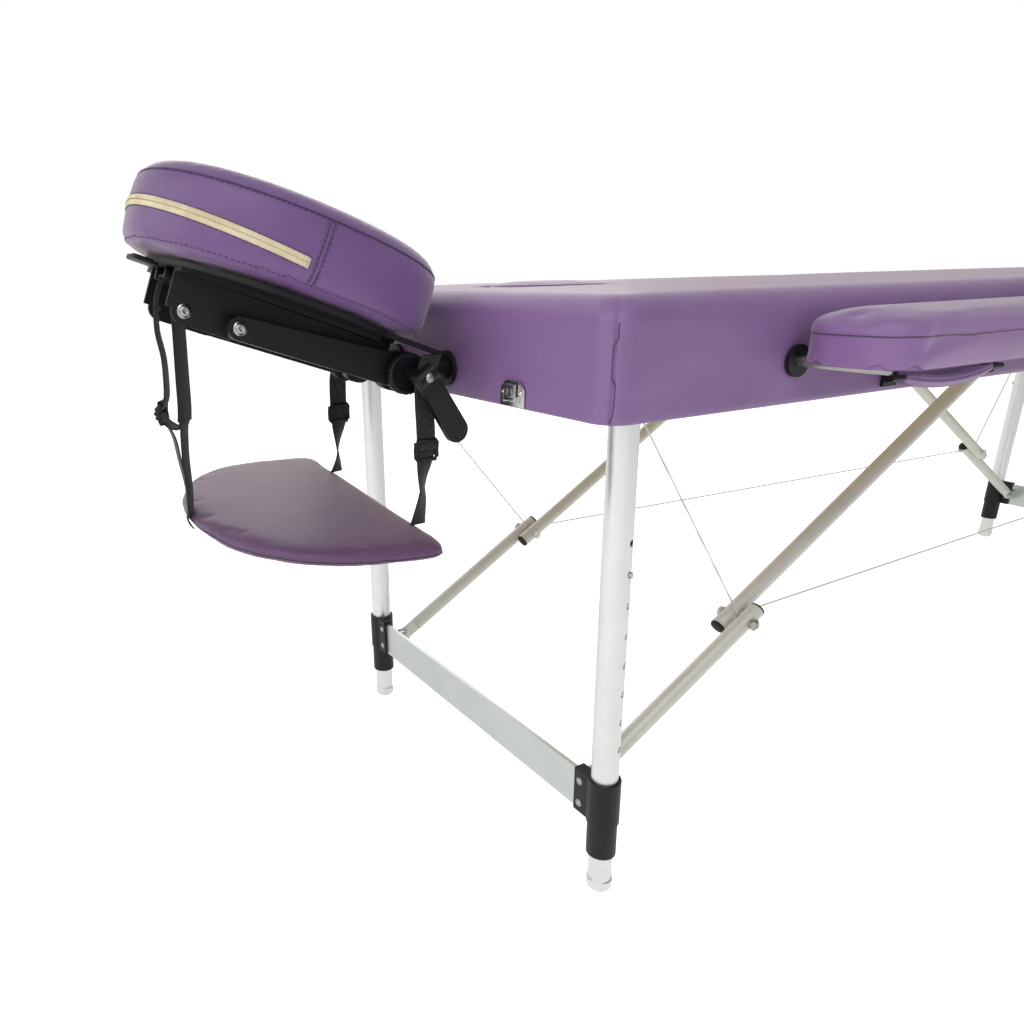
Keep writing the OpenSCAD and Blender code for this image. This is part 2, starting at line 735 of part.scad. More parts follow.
// The knee bolt is in two halves, one on each tube, where the linkage is opened
module knee_bolt(y) {
    color(zinc) along(knee_x, knee_z, brace_angle) {
        translate([0, -y, 0]) bar_y(knee_bolt_r, -brace_r - bolt_head_t, brace_step / 2 - free_gap / 2);
        translate([0, -y, 0]) bar_y(bolt_head_r, -brace_r - bolt_head_t, -brace_r);
    }
}
module knee_nut(y) {
    color(zinc) along(knee_x, knee_z, brace_angle) {
        translate([0, -y, 0]) bar_y(knee_bolt_r, free_gap / 2 - brace_step / 2, brace_r + bolt_head_t);
        translate([0, -y, 0]) bar_y(bolt_head_r, brace_r, brace_r + bolt_head_t);
    }
}
module head_lower_braces() { head_half() both_sides() lower_brace(head_leg_y - brace_in); }
module foot_lower_braces() { foot_half() both_sides() lower_brace(foot_leg_y - brace_in); }
module head_knee_bolts() { head_half() both_sides() knee_bolt(head_leg_y - brace_in); }
module foot_knee_bolts() { foot_half() both_sides() knee_bolt(foot_leg_y - brace_in); }
module head_upper_braces() {
    head_half() both_sides() {
        upper_brace(head_leg_y - brace_in - brace_step);
        knee_nut(head_leg_y - brace_in - brace_step);
    }
}
module foot_upper_braces() {
    foot_half() both_sides() {
        upper_brace(foot_leg_y - brace_in - brace_step);
        knee_nut(foot_leg_y - brace_in - brace_step);
    }
}

// Stay cables: from a leg's top over both knees to the other leg's top
cable_top_x = -leg_x + bracket_x;
cable_top_z = pivot_z;
// Thickness of the crimped bead where the cable passes over a knee bolt
cable_bead = 0.4;
cable_over_knee = knee_bolt_r + cable_d / 2 + cable_bead + free_gap;
module stay_cable() {
    r = cable_d / 2;
    function top(sign, y) = [sign * cable_top_x, -y + leg_r + fork_gap - r, cable_top_z];
    function knee(sign, y) = [sign * knee_x, -y + brace_in + brace_step / 2, knee_z + cable_over_knee];
    stops = [top(1, head_leg_y), knee(1, head_leg_y), knee(-1, foot_leg_y), top(-1, foot_leg_y)];
    color(chrome) {
        for (i = [0 : len(stops) - 2]) rod_between(stops[i], stops[i + 1], r);
        for (i = [1 : len(stops) - 2]) translate(stops[i]) sphere(r + cable_bead);
    }
}
module cable_near() { head_half() stay_cable(); }
module cable_far() { head_half() mirror([0, 1, 0]) stay_cable(); }

// Suitcase latches on the head end and their keepers on the foot end
latch_low = 2;
hook_w = 15;
hook_pin_r = 1.5;
hook_rise = 7;
// Half thickness of the lugs that hold a hook's pin, and where they stand
lug_half = 0.8;
lug_gap = 0.4;
lug_y = hook_w / 2 + lug_gap + lug_half;
// Rounding of a latch plate's top, and its screw holes
latch_round = latch_w * 0.56;
latch_screw_r = 1.6;
latch_screw_y = latch_w * 0.34;
latch_screw_z = latch_h * 0.55;
// The hook's end stops short of the plate's top, and its window has this rim
hook_short = 4;
hook_rim = 3;
hook_window = hook_w * 0.27;
keeper_h = latch_h * 0.6;
keeper_low = latch_h * 0.3;
keeper_bar_h = latch_h * 0.12;
hook_hub_wall = 0.6;
hook_hub_r = hook_t / 2 + hook_hub_wall;
hook_axis_out = latch_plate_t + hook_hub_r + free_gap;
module latch_places() { both_sides() translate([-half_len, -latch_y, underside_z + latch_low]) children(); }
module latch_plate() {
    top_r = latch_w / 2;
    difference() {
        intersection() {
            box([-latch_plate_t, -top_r, 0], [0, top_r, latch_h]);
            translate([0, 0, latch_h - top_r]) bar_x(latch_round, -latch_plate_t, 0);
        }
        for (s = [-1, 1]) translate([0, s * latch_screw_y, latch_screw_z]) bar_x(latch_screw_r,
            -latch_plate_t - over, over);
    }
    for (s = [-1, 1]) difference() {
        box([-hook_axis_out - hook_pin_r, s * lug_y - lug_half, hook_rise - 2 * hook_pin_r],
            [-latch_plate_t, s * lug_y + lug_half, hook_rise + 2 * hook_pin_r]);
    }
    translate([-hook_axis_out, 0, hook_rise])
        bar_y(hook_pin_r, -lug_y, lug_y);
}
module latch_plates() { color(chrome) head_half() latch_places() latch_plate(); }
hook_len = latch_h - hook_rise - hook_short;
module latch_hook() {
    translate([-hook_axis_out, 0, hook_rise]) difference() {
        union() {
            bar_y(hook_hub_r, -hook_w / 2, hook_w / 2);
            box([-hook_t / 2, -hook_w / 2, 0], [hook_t / 2 - free_gap, hook_w / 2, hook_len]);
            translate([0, 0, hook_len]) bar_y(hook_t / 2 - free_gap, -hook_w / 2, hook_w / 2);
        }
        bar_y(hook_pin_r + run_fit, -hook_w, hook_w);
        box([-hook_t, -hook_window, hook_short], [hook_t, hook_window, hook_len - hook_rim]);
    }
}
module latch_hook_near() {
    color(chrome) head_half() translate([-half_len, -latch_y, underside_z + latch_low]) latch_hook();
}
module latch_hook_far() {
    color(chrome) head_half() translate([-half_len, latch_y, underside_z + latch_low]) latch_hook();
}
module latch_keepers() {
    color(chrome) foot_half() latch_places() {
        difference() {
            box([-latch_plate_t, -latch_w / 2, 0], [0, latch_w / 2, keeper_h]);
            for (s = [-1, 1]) translate([0, s * latch_screw_y, keeper_low])
                bar_x(latch_screw_r, -latch_plate_t - over, over);
        }
        box([-latch_plate_t - hook_t, -hook_w / 2, keeper_low], [-latch_plate_t, hook_w / 2,
            keeper_low + keeper_bar_h]);
    }
}

// Padded carry handles on the near long side
tab_t = 3;
tab_h = 16;
handle_r = 6;
handle_pin_r = 2;
handle_pin_len = 14;
handle_axis_rise = 14;
handle_axis_y = -half_w - tab_t - handle_r - free_gap;
handle_steps = 16;
handle_sides = 12;
// Thickness of the handle as a share of its height, and its size at the ends
handle_flat_share = 0.85;
handle_end_share = 0.66;
module handle_space() { translate([-half_len + handle_x, 0, underside_z]) children(); }
module tabs() {
    color(black) handle_space() for (s = [-1, 1]) translate([s * (handle_len / 2 + tab_w / 2), 0, 0]) {
        box([-tab_w / 2, -half_w - tab_t, handle_axis_rise - tab_h / 2], [tab_w / 2, -half_w,
            handle_axis_rise + tab_h / 2]);
        box([-tab_w / 2, handle_axis_y, handle_axis_rise - tab_t], [tab_w / 2, -half_w - tab_t,
            handle_axis_rise + tab_t]);
        translate([-s * tab_w / 2 - handle_pin_len / 2, handle_axis_y, handle_axis_rise])
            bar_x(handle_pin_r, 0, handle_pin_len);
        translate([-tab_w / 2, handle_axis_y, handle_axis_rise]) bar_x(tab_t, 0, tab_w);
    }
}
module handle() {
    function centre(t) = [handle_len / 2 * (2 * t - 1), handle_axis_y,
        handle_axis_rise - handle_droop * sin(180 * t)];
    rings = [for (i = [0 : handle_steps]) let (
        end = free_gap / handle_len,
        t = end + (1 - 2 * end) * i / handle_steps,
        grow = handle_end_share + (1 - handle_end_share) * sin(180 * t),
        c = centre(t))
        [for (j = [0 : handle_sides - 1]) let (a = 360 * j / handle_sides)
            c + [0, handle_r * handle_flat_share * grow * cos(a), handle_r * grow * sin(a)]]];
    color(purple) handle_space() difference() {
        skin(rings);
        for (s = [-1, 1]) translate([s * handle_len / 2 - handle_pin_len / 2 - over, handle_axis_y,
            handle_axis_rise])
            bar_x(handle_pin_r + run_fit, 0, handle_pin_len + 2 * over);
    }
}
module head_handle_tabs() { head_half() tabs(); }
module foot_handle_tabs() { foot_half() tabs(); }
module head_handle() { head_half() handle(); }
module foot_handle() { foot_half() handle(); }

// Head cradle
shaft_r = 6;
cheek_gap = 0.4;
cheek_t = 12;
yoke_gap = 2;
yoke_x = hub_d / 2 + yoke_gap;
yoke_t = 12;
yoke_h = 26;
arm_in = dowel_y - arm_t / 2;
arm_out = dowel_y + arm_t / 2;
module hub_space() { translate([-hub_at_x, 0, dowel_z]) children(); }
module cradle_dowels() {
    color(black) head_half() {
        hub_space() both_sides() translate([0, -dowel_y, 0]) {
            for (s = [-1, 1]) translate([0, s * (arm_t / 2 + cheek_gap + cheek_t / 2), 0]) {
                bar_y(hub_d / 2, -cheek_t / 2, cheek_t / 2);
                box([0, -cheek_t / 2, -yoke_h / 2], [yoke_x + yoke_t, cheek_t / 2, yoke_h / 2]);
            }
            box([yoke_x, -arm_t / 2 - cheek_gap - cheek_t, -yoke_h / 2],
                [yoke_x + yoke_t, arm_t / 2 + cheek_gap + cheek_t, yoke_h / 2]);
            bar_x(dowel_d / 2, yoke_x, hub_x + dowel_in);
        }
        hub_space() bar_y(shaft_r, -arm_out - cheek_gap - cheek_t, arm_out + cheek_gap + cheek_t);
    }
}

arm_hub_r = 17;
arm_tip_r = 11;
module cradle_arms() {
    color(black) head_half() hub_space() both_sides() rotate([0, 180 + arm_angle, 0]) difference() {
        hull() {
            bar_y(arm_hub_r, -arm_out, -arm_in, $fn = hull_fn);
            translate([arm_len, 0, 0]) bar_y(arm_tip_r, -arm_out, -arm_in, $fn = hull_fn);
        }
        bar_y(shaft_r + run_fit, -arm_out - over, -arm_in + over);
        translate([arm_len, 0, 0]) bar_y(tilt_bolt_d / 2 + run_fit, -arm_out - over, -arm_in + over);
    }
}

// Frame of the tilted platform: origin at the cushion's bottom, X down towards the table
module cradle_space() { translate([-cradle_mid_x, 0, cradle_z]) rotate([0, cradle_tilt, 0]) children(); }
pad_gap = 0.3;
tilt_dx = cradle_mid_x - tilt_at_x;
tilt_dz = tilt_at_z - cradle_z;
tilt_lx = tilt_dx * cos(cradle_tilt) - tilt_dz * sin(cradle_tilt);
tilt_lz = tilt_dx * sin(cradle_tilt) + tilt_dz * cos(cradle_tilt);
plate_t = 4;
plate_past = 17;
plate_round = 12;
front_bolt_x = 49;
platform_hole_in = 8;
platform_hole_a = cushion_a - cushion_w - platform_hole_in;
platform_hole_b = cushion_b - cushion_w - platform_hole_in + 2;
// Distance of the straps from the sling pad's edges and the platform's raised end, and
// of the inner straps' feet from the middle
strap_inset = 10;
strap_in = 22;
strap_foot_y = 99;
// The ears that carry the inner straps end past the straps, beside the hub
strap_ear = 2;
strap_shaft_gap = 6;
strap_ear_x = (cradle_x - hub_x + shaft_r + strap_w + strap_shaft_gap) / cos(cradle_tilt) + strap_ear;
// The side plates stand inside the arms, and a flange runs on from them towards the hub
plate_out = arm_in - cheek_gap;
flange_x = 95;
flange_h = 14;
ledge_w = 18;
module cradle_platform() {
    under = -pad_gap - platform_t;
    color(black) head_half() cradle_space() {
        both_sides() box([0, -strap_y - strap_t / 2 - strap_ear, under],
            [strap_ear_x, -strap_y + strap_t / 2 + strap_ear, -pad_gap]);
        difference() {
            slot_prism(2 * platform_a, 2 * platform_b, under, -pad_gap);
            slot_prism(2 * platform_hole_a, 2 * platform_hole_b, under - over, over);
        }
        both_sides() difference() {
            union() {
                box([tilt_lx - front_bolt_x - plate_past, -plate_out, tilt_lz], [tilt_lx + plate_past,
                    -plate_out + plate_t, under]);
                hull() for (x = [tilt_lx - front_bolt_x, tilt_lx]) translate([x, 0, tilt_lz])
                    bar_y(plate_round, -plate_out, -plate_out + plate_t, $fn = hull_fn);
                hull() {
                    box([tilt_lx, -plate_out, under - flange_h], [tilt_lx + plate_past,
                        -plate_out + plate_t, under]);
                    box([flange_x - plate_t, -plate_out, under - plate_t], [flange_x,
                        -plate_out + plate_t, under]);
                }
            }
            for (x = [tilt_lx - front_bolt_x, tilt_lx]) translate([x, 0, tilt_lz])
                bar_y(tilt_bolt_d / 2 + socket_seat, -plate_out - over, -plate_out + plate_t + over);
        }
        both_sides() box([tilt_lx - front_bolt_x - plate_past, -plate_out - ledge_w, under - plate_t],
            [flange_x, -plate_out + plate_t, under]);
    }
}
module cradle_bolts() {
    head_at = -arm_out - cheek_gap;
    plate_in = -plate_out + plate_t;
    color(zinc) head_half() cradle_space() both_sides() {
        translate([tilt_lx, 0, tilt_lz]) {
            bar_y(tilt_bolt_d / 2, head_at, plate_in);
            bar_y(bolt_head_r, head_at - bolt_head_t, head_at);
        }
        translate([tilt_lx - front_bolt_x, 0, tilt_lz]) {
            bar_y(tilt_bolt_d / 2, -plate_out, plate_in);
            bar_y(bolt_head_r, -plate_out - bolt_head_t, -plate_out);
        }
    }
}

// Cam lever on the hub's near end
lever_angle = 57;
lever_len = 80;
lever_w = 26;
lever_t = 9;
cam_r = 9;
cam_h = 22;
lever_half = lever_t / 3;
lever_pin_r = 3;
// How far the lever stands off the hub, clear of the strap that hangs between them
lever_off = 24;
lever_y = -(arm_out + cheek_gap + cheek_t + free_gap + cam_r + lever_off);
module cam_lever() {
    color(black) head_half() hub_space() translate([0, lever_y, 0]) rotate([0, lever_angle, 0]) {
        translate([0, 0, -cam_h / 2]) cylinder(r = cam_r, h = cam_h);
        bar_y(shaft_r, 0, cam_r + lever_off);
        hull() {
            translate([0, 0, -cam_h / 2]) cylinder(r = lever_t / 2, h = cam_h, $fn = hull_fn);
            translate([lever_len - lever_w / 2, 0, 0]) bar_y(lever_w / 2, -lever_half, lever_half,
                $fn = hull_fn);
        }
    }
}

// Head cushion: a padded ring, open towards the table
pad_steps = 26;
pad_end_angles = [75, 50, 25];
pad_seat = 0.15;
module head_pad() {
    hw = cushion_w / 2;
    hh = cushion_h / 2;
    xm = cushion_a - hw;
    ym = cushion_b - hw;
    e = 2 / cushion_square;
    profile = [for (p = round_outline(hw, hh, cushion_round)) [p.x,
        p.y + (p.y > 0 ? cushion_crown * (1 - pow(p.x / hw, 2)) : 0)]];
    function sgn_pow(v, k) = sign(v) * pow(abs(v), k);
    function centre(a) = [xm * sgn_pow(cos(a), e), ym * sgn_pow(sin(a), e)];
    function normal(a) = let (c = centre(a),
        g = [sgn_pow(c.x / xm, cushion_square - 1) / xm, sgn_pow(c.y / ym,
            cushion_square - 1) / ym]) g / norm(g);
    function station(c, n, s) = [for (p = profile)
        [c.x + n.x * p.x * s, c.y + n.y * p.x * s, hh + p.y * s]];
    first = cushion_open;
    last = 360 - cushion_open;
    function turn(n) = [-n.y, n.x];
    rings = concat(
        [for (b = pad_end_angles) let (n = normal(first))
            station(centre(first) - turn(n) * cushion_round * sin(b), n,
                1 - (1 - cos(b)) * cushion_round / hw)],
        [for (i = [0 : pad_steps]) let (a = first + (last - first) * i / pad_steps) station(centre(a),
            normal(a), 1)],
        [for (k = [len(pad_end_angles) - 1 : -1 : 0]) let (n = normal(last), b = pad_end_angles[k])
            station(centre(last) + turn(n) * cushion_round * sin(b), n,
                1 - (1 - cos(b)) * cushion_round / hw)]);
    color(dark_purple) head_half() cradle_space() translate([0, 0, pad_seat]) skin(rings);
}

// Arm sling: a half-moon pad on three straps
sling_tilt = 3;
sling_roll = 4.5;
// Where the middle of the pad's shrinking rings lies, as a share of its depth
sling_mid = 0.45;
module sling_space() {
    translate([-half_len - sling_x, 0, sling_z]) rotate([sling_roll, sling_tilt, 0]) children();
}
function sling_at(p) = let (
    y = p.y * cos(sling_roll) - p.z * sin(sling_roll),
    z = p.y * sin(sling_roll) + p.z * cos(sling_roll))
    [-half_len - sling_x + p.x * cos(sling_tilt) + z * sin(sling_tilt), y,
        sling_z - p.x * sin(sling_tilt) + z * cos(sling_tilt)];
module sling_pad() {
    outline = moon_outline(sling_a, sling_b);
    shares = [[0.035, 0], [0.01, 0.18], [0, 0.5], [0.01, 0.8], [0.04, 0.95], [0.2, 1.08], [0.6, 1.16]];
    color(purple) head_half() sling_space() skin([for (s = shares)
        [for (p = outline)
            [sling_a * (-sling_mid + (p.x / sling_a + sling_mid) * (1 - s[0])), p.y * (1 - s[0]),
                sling_t * s[1]]]]);
}

// A strap runs from under the platform to the top of the pad. Its upper end lies in the
// cradle's frame and its lower end in the pad's own frame.
// Height of the pad's top under a strap, as a share of its thickness
inner_top_share = 1.06;
outer_top_share = 1.1;
inner_foot = [-strap_inset, strap_foot_y, sling_t * inner_top_share + free_gap];
outer_foot = [-sling_a + strap_inset, 0, sling_t * outer_top_share + free_gap];
inner_top = [strap_ear_x - strap_w / 2 - strap_ear, strap_y, -pad_gap - platform_t - free_gap];
outer_top = [-platform_a + strap_in, 0, -pad_gap - platform_t - free_gap];
function cradle_at(p) = [-cradle_mid_x + p.x * cos(cradle_tilt) + p.z * sin(cradle_tilt), p.y,
    cradle_z - p.x * sin(cradle_tilt) + p.z * cos(cradle_tilt)];
// Thickness of the strap's end slices, from which the strap is skinned
strap_slice = 0.4;
module strap(top, foot, across) {
    half = across ? [strap_t / 2, strap_w / 2] : [strap_w / 2, strap_t / 2];
    hull() {
        cradle_space() translate(top) box([-half.x, -half.y, -strap_slice], [half.x, half.y, 0]);
        sling_space() translate(foot) box([-half.x, -half.y, 0], [half.x, half.y, strap_slice]);
    }
}
function far_side(p) = [p.x, -p.y, p.z];
module sling_straps() {
    color(webbing) head_half() {
        strap(inner_top, inner_foot, false);
        strap(far_side(inner_top), far_side(inner_foot), false);
        strap(outer_top, outer_foot, true);
    }
}

// A three-bar slide on a strap, at a share of the strap's length above the pad
buckle_h = 24;
buckle_t = 3;
buckle_past = 4;
buckle_room = 1;
inner_buckle_share = 0.5;
outer_buckle_share = 0.52;
module buckle(top, foot, share, across) {
    a = cradle_at(top);
    b = sling_at(foot);
    d = (a - b) / norm(a - b);
    half = (across ? [strap_t / 2, strap_w / 2] : [strap_w / 2, strap_t / 2]);
    past = across ? [buckle_t, buckle_past] : [buckle_past, buckle_t];
    translate(b + (a - b) * share) rotate([-asin(d.y), atan2(d.x, d.z), 0]) difference() {
        box([-half.x - past.x, -half.y - past.y, -buckle_h / 2], [half.x + past.x, half.y + past.y,
            buckle_h / 2]);
        box([-half.x - buckle_room, -half.y - buckle_room, -buckle_h],
            [half.x + buckle_room, half.y + buckle_room, buckle_h]);
    }
}
module sling_buckles() {
    color(black) head_half() {
        buckle(inner_top, inner_foot, inner_buckle_share, false);
        buckle(far_side(inner_top), far_side(inner_foot), inner_buckle_share, false);
        buckle(outer_top, outer_foot, outer_buckle_share, true);
    }
}

// Side armrests: pad over a grooved board, carried by two rods
rest_mid_x = -(rest_fold + rest_len / 2);
rest_mid_y = -half_w - rest_gap - rest_w / 2;
rest_skirt = 4;
rest_draw = 1;
module rest_grooves(extra) {
    for (x = rod_xs) translate([x, 0, rod_z]) bar_y(rod_r + extra,
        -half_w - rest_gap - rest_w + rod_end, -half_w + over);
}
module armrest_pad() {
    color(purple) difference() {
        translate([rest_mid_x, rest_mid_y, 0])
            upholstery(rest_len / 2, rest_w / 2, rest_corner_r, rod_z, rest_side_h, rest_edge_r,
                rest_crown, rest_draw, rest_skirt, rest_board_t);
        rest_grooves(socket_seat);
    }
}
module armrest_board() {
    color(wood) difference() {
        round_plate([rest_mid_x - rest_len / 2 + rest_skirt, rest_mid_y - rest_w / 2 + rest_skirt, rod_z],
            [rest_mid_x + rest_len / 2 - rest_skirt, rest_mid_y + rest_w / 2 - rest_skirt,
                rod_z + rest_board_t],
            rest_corner_r + rest_skirt);
        rest_grooves(socket_seat);
    }
}
module armrest_rods() {
    color(black) for (x = rod_xs) translate([x, 0, rod_z])
        bar_y(rod_r, -half_w - rest_gap - rest_w + rod_end, -half_w + rod_in);
}
module armrest_near_pad() { head_half() armrest_pad(); }
module armrest_near_board() { head_half() armrest_board(); }
module armrest_near_rods() { head_half() armrest_rods(); }
module armrest_far_pad() { head_half() mirror([0, 1, 0]) armrest_pad(); }
module armrest_far_board() { head_half() mirror([0, 1, 0]) armrest_board(); }
module armrest_far_rods() { head_half() mirror([0, 1, 0]) armrest_rods(); }

head_cushion();
head_deck();
head_rails();
head_brackets();
socket_grommets();
head_hinge_leaves();
hinge_pins();
latch_plates();
cable_near();
cable_far();
head_handle_tabs();
foot_cushion();
foot_deck();
foot_rails();
foot_brackets();
foot_hinge_leaves();
latch_keepers();
foot_handle_tabs();
face_plug();
head_handle();
foot_handle();
latch_hook_near();
latch_hook_far();
head_outer_legs();
head_crossbar();
head_corner_brackets();
head_collars();
foot_outer_legs();
foot_crossbar();
foot_corner_brackets();
foot_collars();
inner_leg_head_near();
inner_leg_head_far();
inner_leg_foot_near();
inner_leg_foot_far();
snap_button_head_near();
snap_button_head_far();
snap_button_foot_near();
snap_button_foot_far();
head_lower_braces();
head_knee_bolts();
head_upper_braces();
foot_lower_braces();
foot_knee_bolts();
foot_upper_braces();
cradle_dowels();
cradle_arms();
cradle_platform();
cradle_bolts();
cam_lever();
head_pad();
sling_pad();
sling_straps();
sling_buckles();
armrest_near_pad();
armrest_near_board();
armrest_near_rods();
armrest_far_pad();
armrest_far_board();
armrest_far_rods();
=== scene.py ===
"""The looks of the folding massage table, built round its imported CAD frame.

All sizes are metres. Shapes are made in table coordinates (the floor under the fold line is the origin, the head end is
towards -x and the near side towards -y), and mesh_object moves them by S, the frame's shift along x.
"""
import bpy
import json
import numpy as np
from math import atan2, copysign, cos, exp, pi, radians, sin, sqrt
from mathutils import Matrix, Vector
from mathutils.bvhtree import BVHTree


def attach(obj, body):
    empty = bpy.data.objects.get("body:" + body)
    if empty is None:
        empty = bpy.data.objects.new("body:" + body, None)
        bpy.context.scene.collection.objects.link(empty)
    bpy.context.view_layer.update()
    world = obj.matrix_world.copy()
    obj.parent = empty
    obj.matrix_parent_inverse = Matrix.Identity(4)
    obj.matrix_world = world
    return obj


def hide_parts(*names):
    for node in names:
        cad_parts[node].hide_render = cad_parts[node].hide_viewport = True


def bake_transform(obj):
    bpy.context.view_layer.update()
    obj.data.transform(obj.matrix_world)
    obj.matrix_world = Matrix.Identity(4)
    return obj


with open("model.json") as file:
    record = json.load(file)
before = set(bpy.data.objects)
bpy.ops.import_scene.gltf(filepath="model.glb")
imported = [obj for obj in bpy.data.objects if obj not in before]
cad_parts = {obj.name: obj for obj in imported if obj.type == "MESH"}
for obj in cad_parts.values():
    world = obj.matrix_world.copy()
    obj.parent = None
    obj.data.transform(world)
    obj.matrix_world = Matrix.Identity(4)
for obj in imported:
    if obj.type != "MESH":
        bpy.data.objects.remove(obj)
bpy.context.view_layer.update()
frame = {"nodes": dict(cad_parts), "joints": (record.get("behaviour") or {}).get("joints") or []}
S = next(j["pos_m"][0] for j in frame["joints"] if j["name"] == "table_fold")

# The camera, solved from the photograph's straight edges
IMAGE_PX, SENSOR_MM = 1024, 36.0
FOCAL_PX, CENTRE_X, CENTRE_Y = 801.607, 367.75, 529.96
YAW, PITCH, ROLL = 1.0979, 0.3106, 0.0217
EYE = (-1.4009 + S, -0.7891, 0.6609)
forward = Vector((cos(YAW) * cos(PITCH), sin(YAW) * cos(PITCH), -sin(PITCH)))
right = Vector((sin(YAW), -cos(YAW), 0))
down = forward.cross(right)
image_x = right * cos(ROLL) + down * sin(ROLL)
image_y = down * cos(ROLL) - right * sin(ROLL)
cam_data = bpy.data.cameras.new("camera")
cam = bpy.data.objects.new("camera", cam_data)
bpy.context.collection.objects.link(cam)
cam_data.sensor_width = SENSOR_MM
cam_data.sensor_fit = "AUTO"
cam_data.lens = FOCAL_PX / IMAGE_PX * SENSOR_MM
cam_data.shift_x = (IMAGE_PX / 2 - CENTRE_X) / IMAGE_PX
cam_data.shift_y = (CENTRE_Y - IMAGE_PX / 2) / IMAGE_PX
cam_data.clip_start, cam_data.clip_end = 0.01, 50
cam.matrix_world = Matrix.Translation(EYE) @ Matrix((image_x, -image_y, -forward)).transposed().to_4x4()
bpy.context.scene.camera = cam

# Materials


class Mat:
    """A small helper that builds a node material round one Principled shader."""

    def __init__(self, name):
        self.m = bpy.data.materials.new(name)
        self.m.use_nodes = True
        self.t = self.m.node_tree
        self.t.nodes.clear()
        self.out = self.node("ShaderNodeOutputMaterial")
        self.b = self.node("ShaderNodeBsdfPrincipled")
        self.link(self.b.outputs[0], self.out.inputs[0])
        self.coord = self.node("ShaderNodeTexCoord").outputs["Object"]

    def link(self, a, b):
        self.t.links.new(a, b)

    def node(self, kind, **values):
        """A new node; each value goes to its input of that name, or else to its setting."""
        n = self.t.nodes.new(kind)
        for k, v in values.items():
            if hasattr(n, k) and k not in n.inputs:
                setattr(n, k, v)
            else:
                n.inputs[k].default_value = v
        return n

    def feed(self, sock, v):
        """Gives a socket a number, a colour or a link."""
        if isinstance(v, (int, float)):
            sock.default_value = v
        elif isinstance(v, tuple):
            sock.default_value = (*v, 1)
        else:
            self.link(v, sock)

    def scaled(self, s):
        n = self.node("ShaderNodeMapping", Scale=s)
        self.link(self.coord, n.inputs["Vector"])
        return n.outputs[0]

    def texture(self, kind, vec=None, **values):
        n = self.node("ShaderNodeTex" + kind, **values)
        self.link(vec or self.coord, n.inputs["Vector"])
        return n.outputs["Distance" if kind == "Voronoi" else "Fac"]

    def noise(self, scale, detail=3.0, rough=0.55, vec=None):
        return self.texture("Noise", vec, Scale=scale, Detail=detail, Roughness=rough)

    def wave(self, scale, direction="X", distortion=0.0):
        return self.texture("Wave", bands_direction=direction, Scale=scale, Distortion=distortion)

    def ramp(self, fac, stops):
        n = self.node("ShaderNodeValToRGB")
        e = n.color_ramp.elements
        while len(e) < len(stops):
            e.new(0.5)
        for k, (p, c) in zip(e, stops):
            k.position = p
            k.color = (*c, 1)
        self.link(fac, n.inputs[0])
        return n.outputs[0]

    def span(self, fac, lo, hi, top=1.0):
        """Maps 0 to top onto lo to hi."""
        n = self.node("ShaderNodeMapRange")
        for i, v in ((1, 0.0), (2, top), (3, lo), (4, hi)):
            n.inputs[i].default_value = v
        self.link(fac, n.inputs[0])
        return n.outputs[0]

    def math(self, op, a, b):
        n = self.node("ShaderNodeMath", operation=op)
        self.feed(n.inputs[0], a)
        self.feed(n.inputs[1], b)
        return n.outputs[0]

    def mix(self, fac, a, b, blend="MIX"):
        n = self.node("ShaderNodeMix", data_type="RGBA", blend_type=blend)
        for sock, v in ((n.inputs[0], fac), (n.inputs[6], a), (n.inputs[7], b)):
            self.feed(sock, v)
        return n.outputs[2]

    def bump(self, height, distance, strength, normal=None):
        n = self.node("ShaderNodeBump", Strength=strength, Distance=distance)
        self.link(height, n.inputs["Height"])
        if normal is not None:
            self.link(normal, n.inputs["Normal"])
        return n.outputs[0]

    def bevel(self, radius):
        return self.node("ShaderNodeBevel", samples=4, Radius=radius).outputs[0]

    def set(self, **k):
        for name, v in k.items():
            self.feed(self.b.inputs[name.replace("_", " ")], v)
        return self.m


def lin(*rgb):
    """A colour given in 0 to 255 as seen, made linear."""
    return tuple(c / 255 / 12.92 if c / 255 <= 0.04045 else ((c / 255 + 0.055) / 1.055) ** 2.4 for c in rgb)


def leather(name, rgb, rough=0.42):
    """Leathercloth: a cloudy tone, a fine cell grain with painted shade in its creases, and a soft sheen."""
    grain = 620.0
    m = Mat(name)
    base = lin(*rgb)
    deep = tuple(c * 0.82 for c in base)
    lift = tuple(min(1, c * 1.1) for c in base)
    tone = m.ramp(m.noise(5.5, 4, 0.6), [(0.3, deep), (0.52, base), (0.75, lift)])
    cells = m.texture("Voronoi", feature="DISTANCE_TO_EDGE", Scale=grain)
    crease = m.span(cells, 0, 1, top=0.12)
    # Painted shade: the base colour is darkened along the creases of the grain
    shade = m.ramp(crease, [(0.0, (0.74, 0.74, 0.74)), (0.6, (1, 1, 1))])
    fine = m.noise(grain * 2.6, 2, 0.5)
    height = m.math("ADD", m.math("MULTIPLY", crease, 0.7), m.math("MULTIPLY", fine, 0.35))
    wide_bump = m.bump(m.noise(34, 4, 0.6), 0.0016, 0.32)
    return m.set(Base_Color=m.mix(0.55, tone, shade, "MULTIPLY"),
                 Roughness=m.span(m.noise(60, 3), rough - 0.05, rough + 0.09),
                 Normal=m.bump(height, 0.00022, 0.55, wide_bump), Specular_IOR_Level=0.5,
                 Coat_Weight=0.16, Coat_Roughness=0.34, Sheen_Weight=0.5, Sheen_Roughness=0.35,
                 Sheen_Tint=(1.0, 0.93, 0.86))


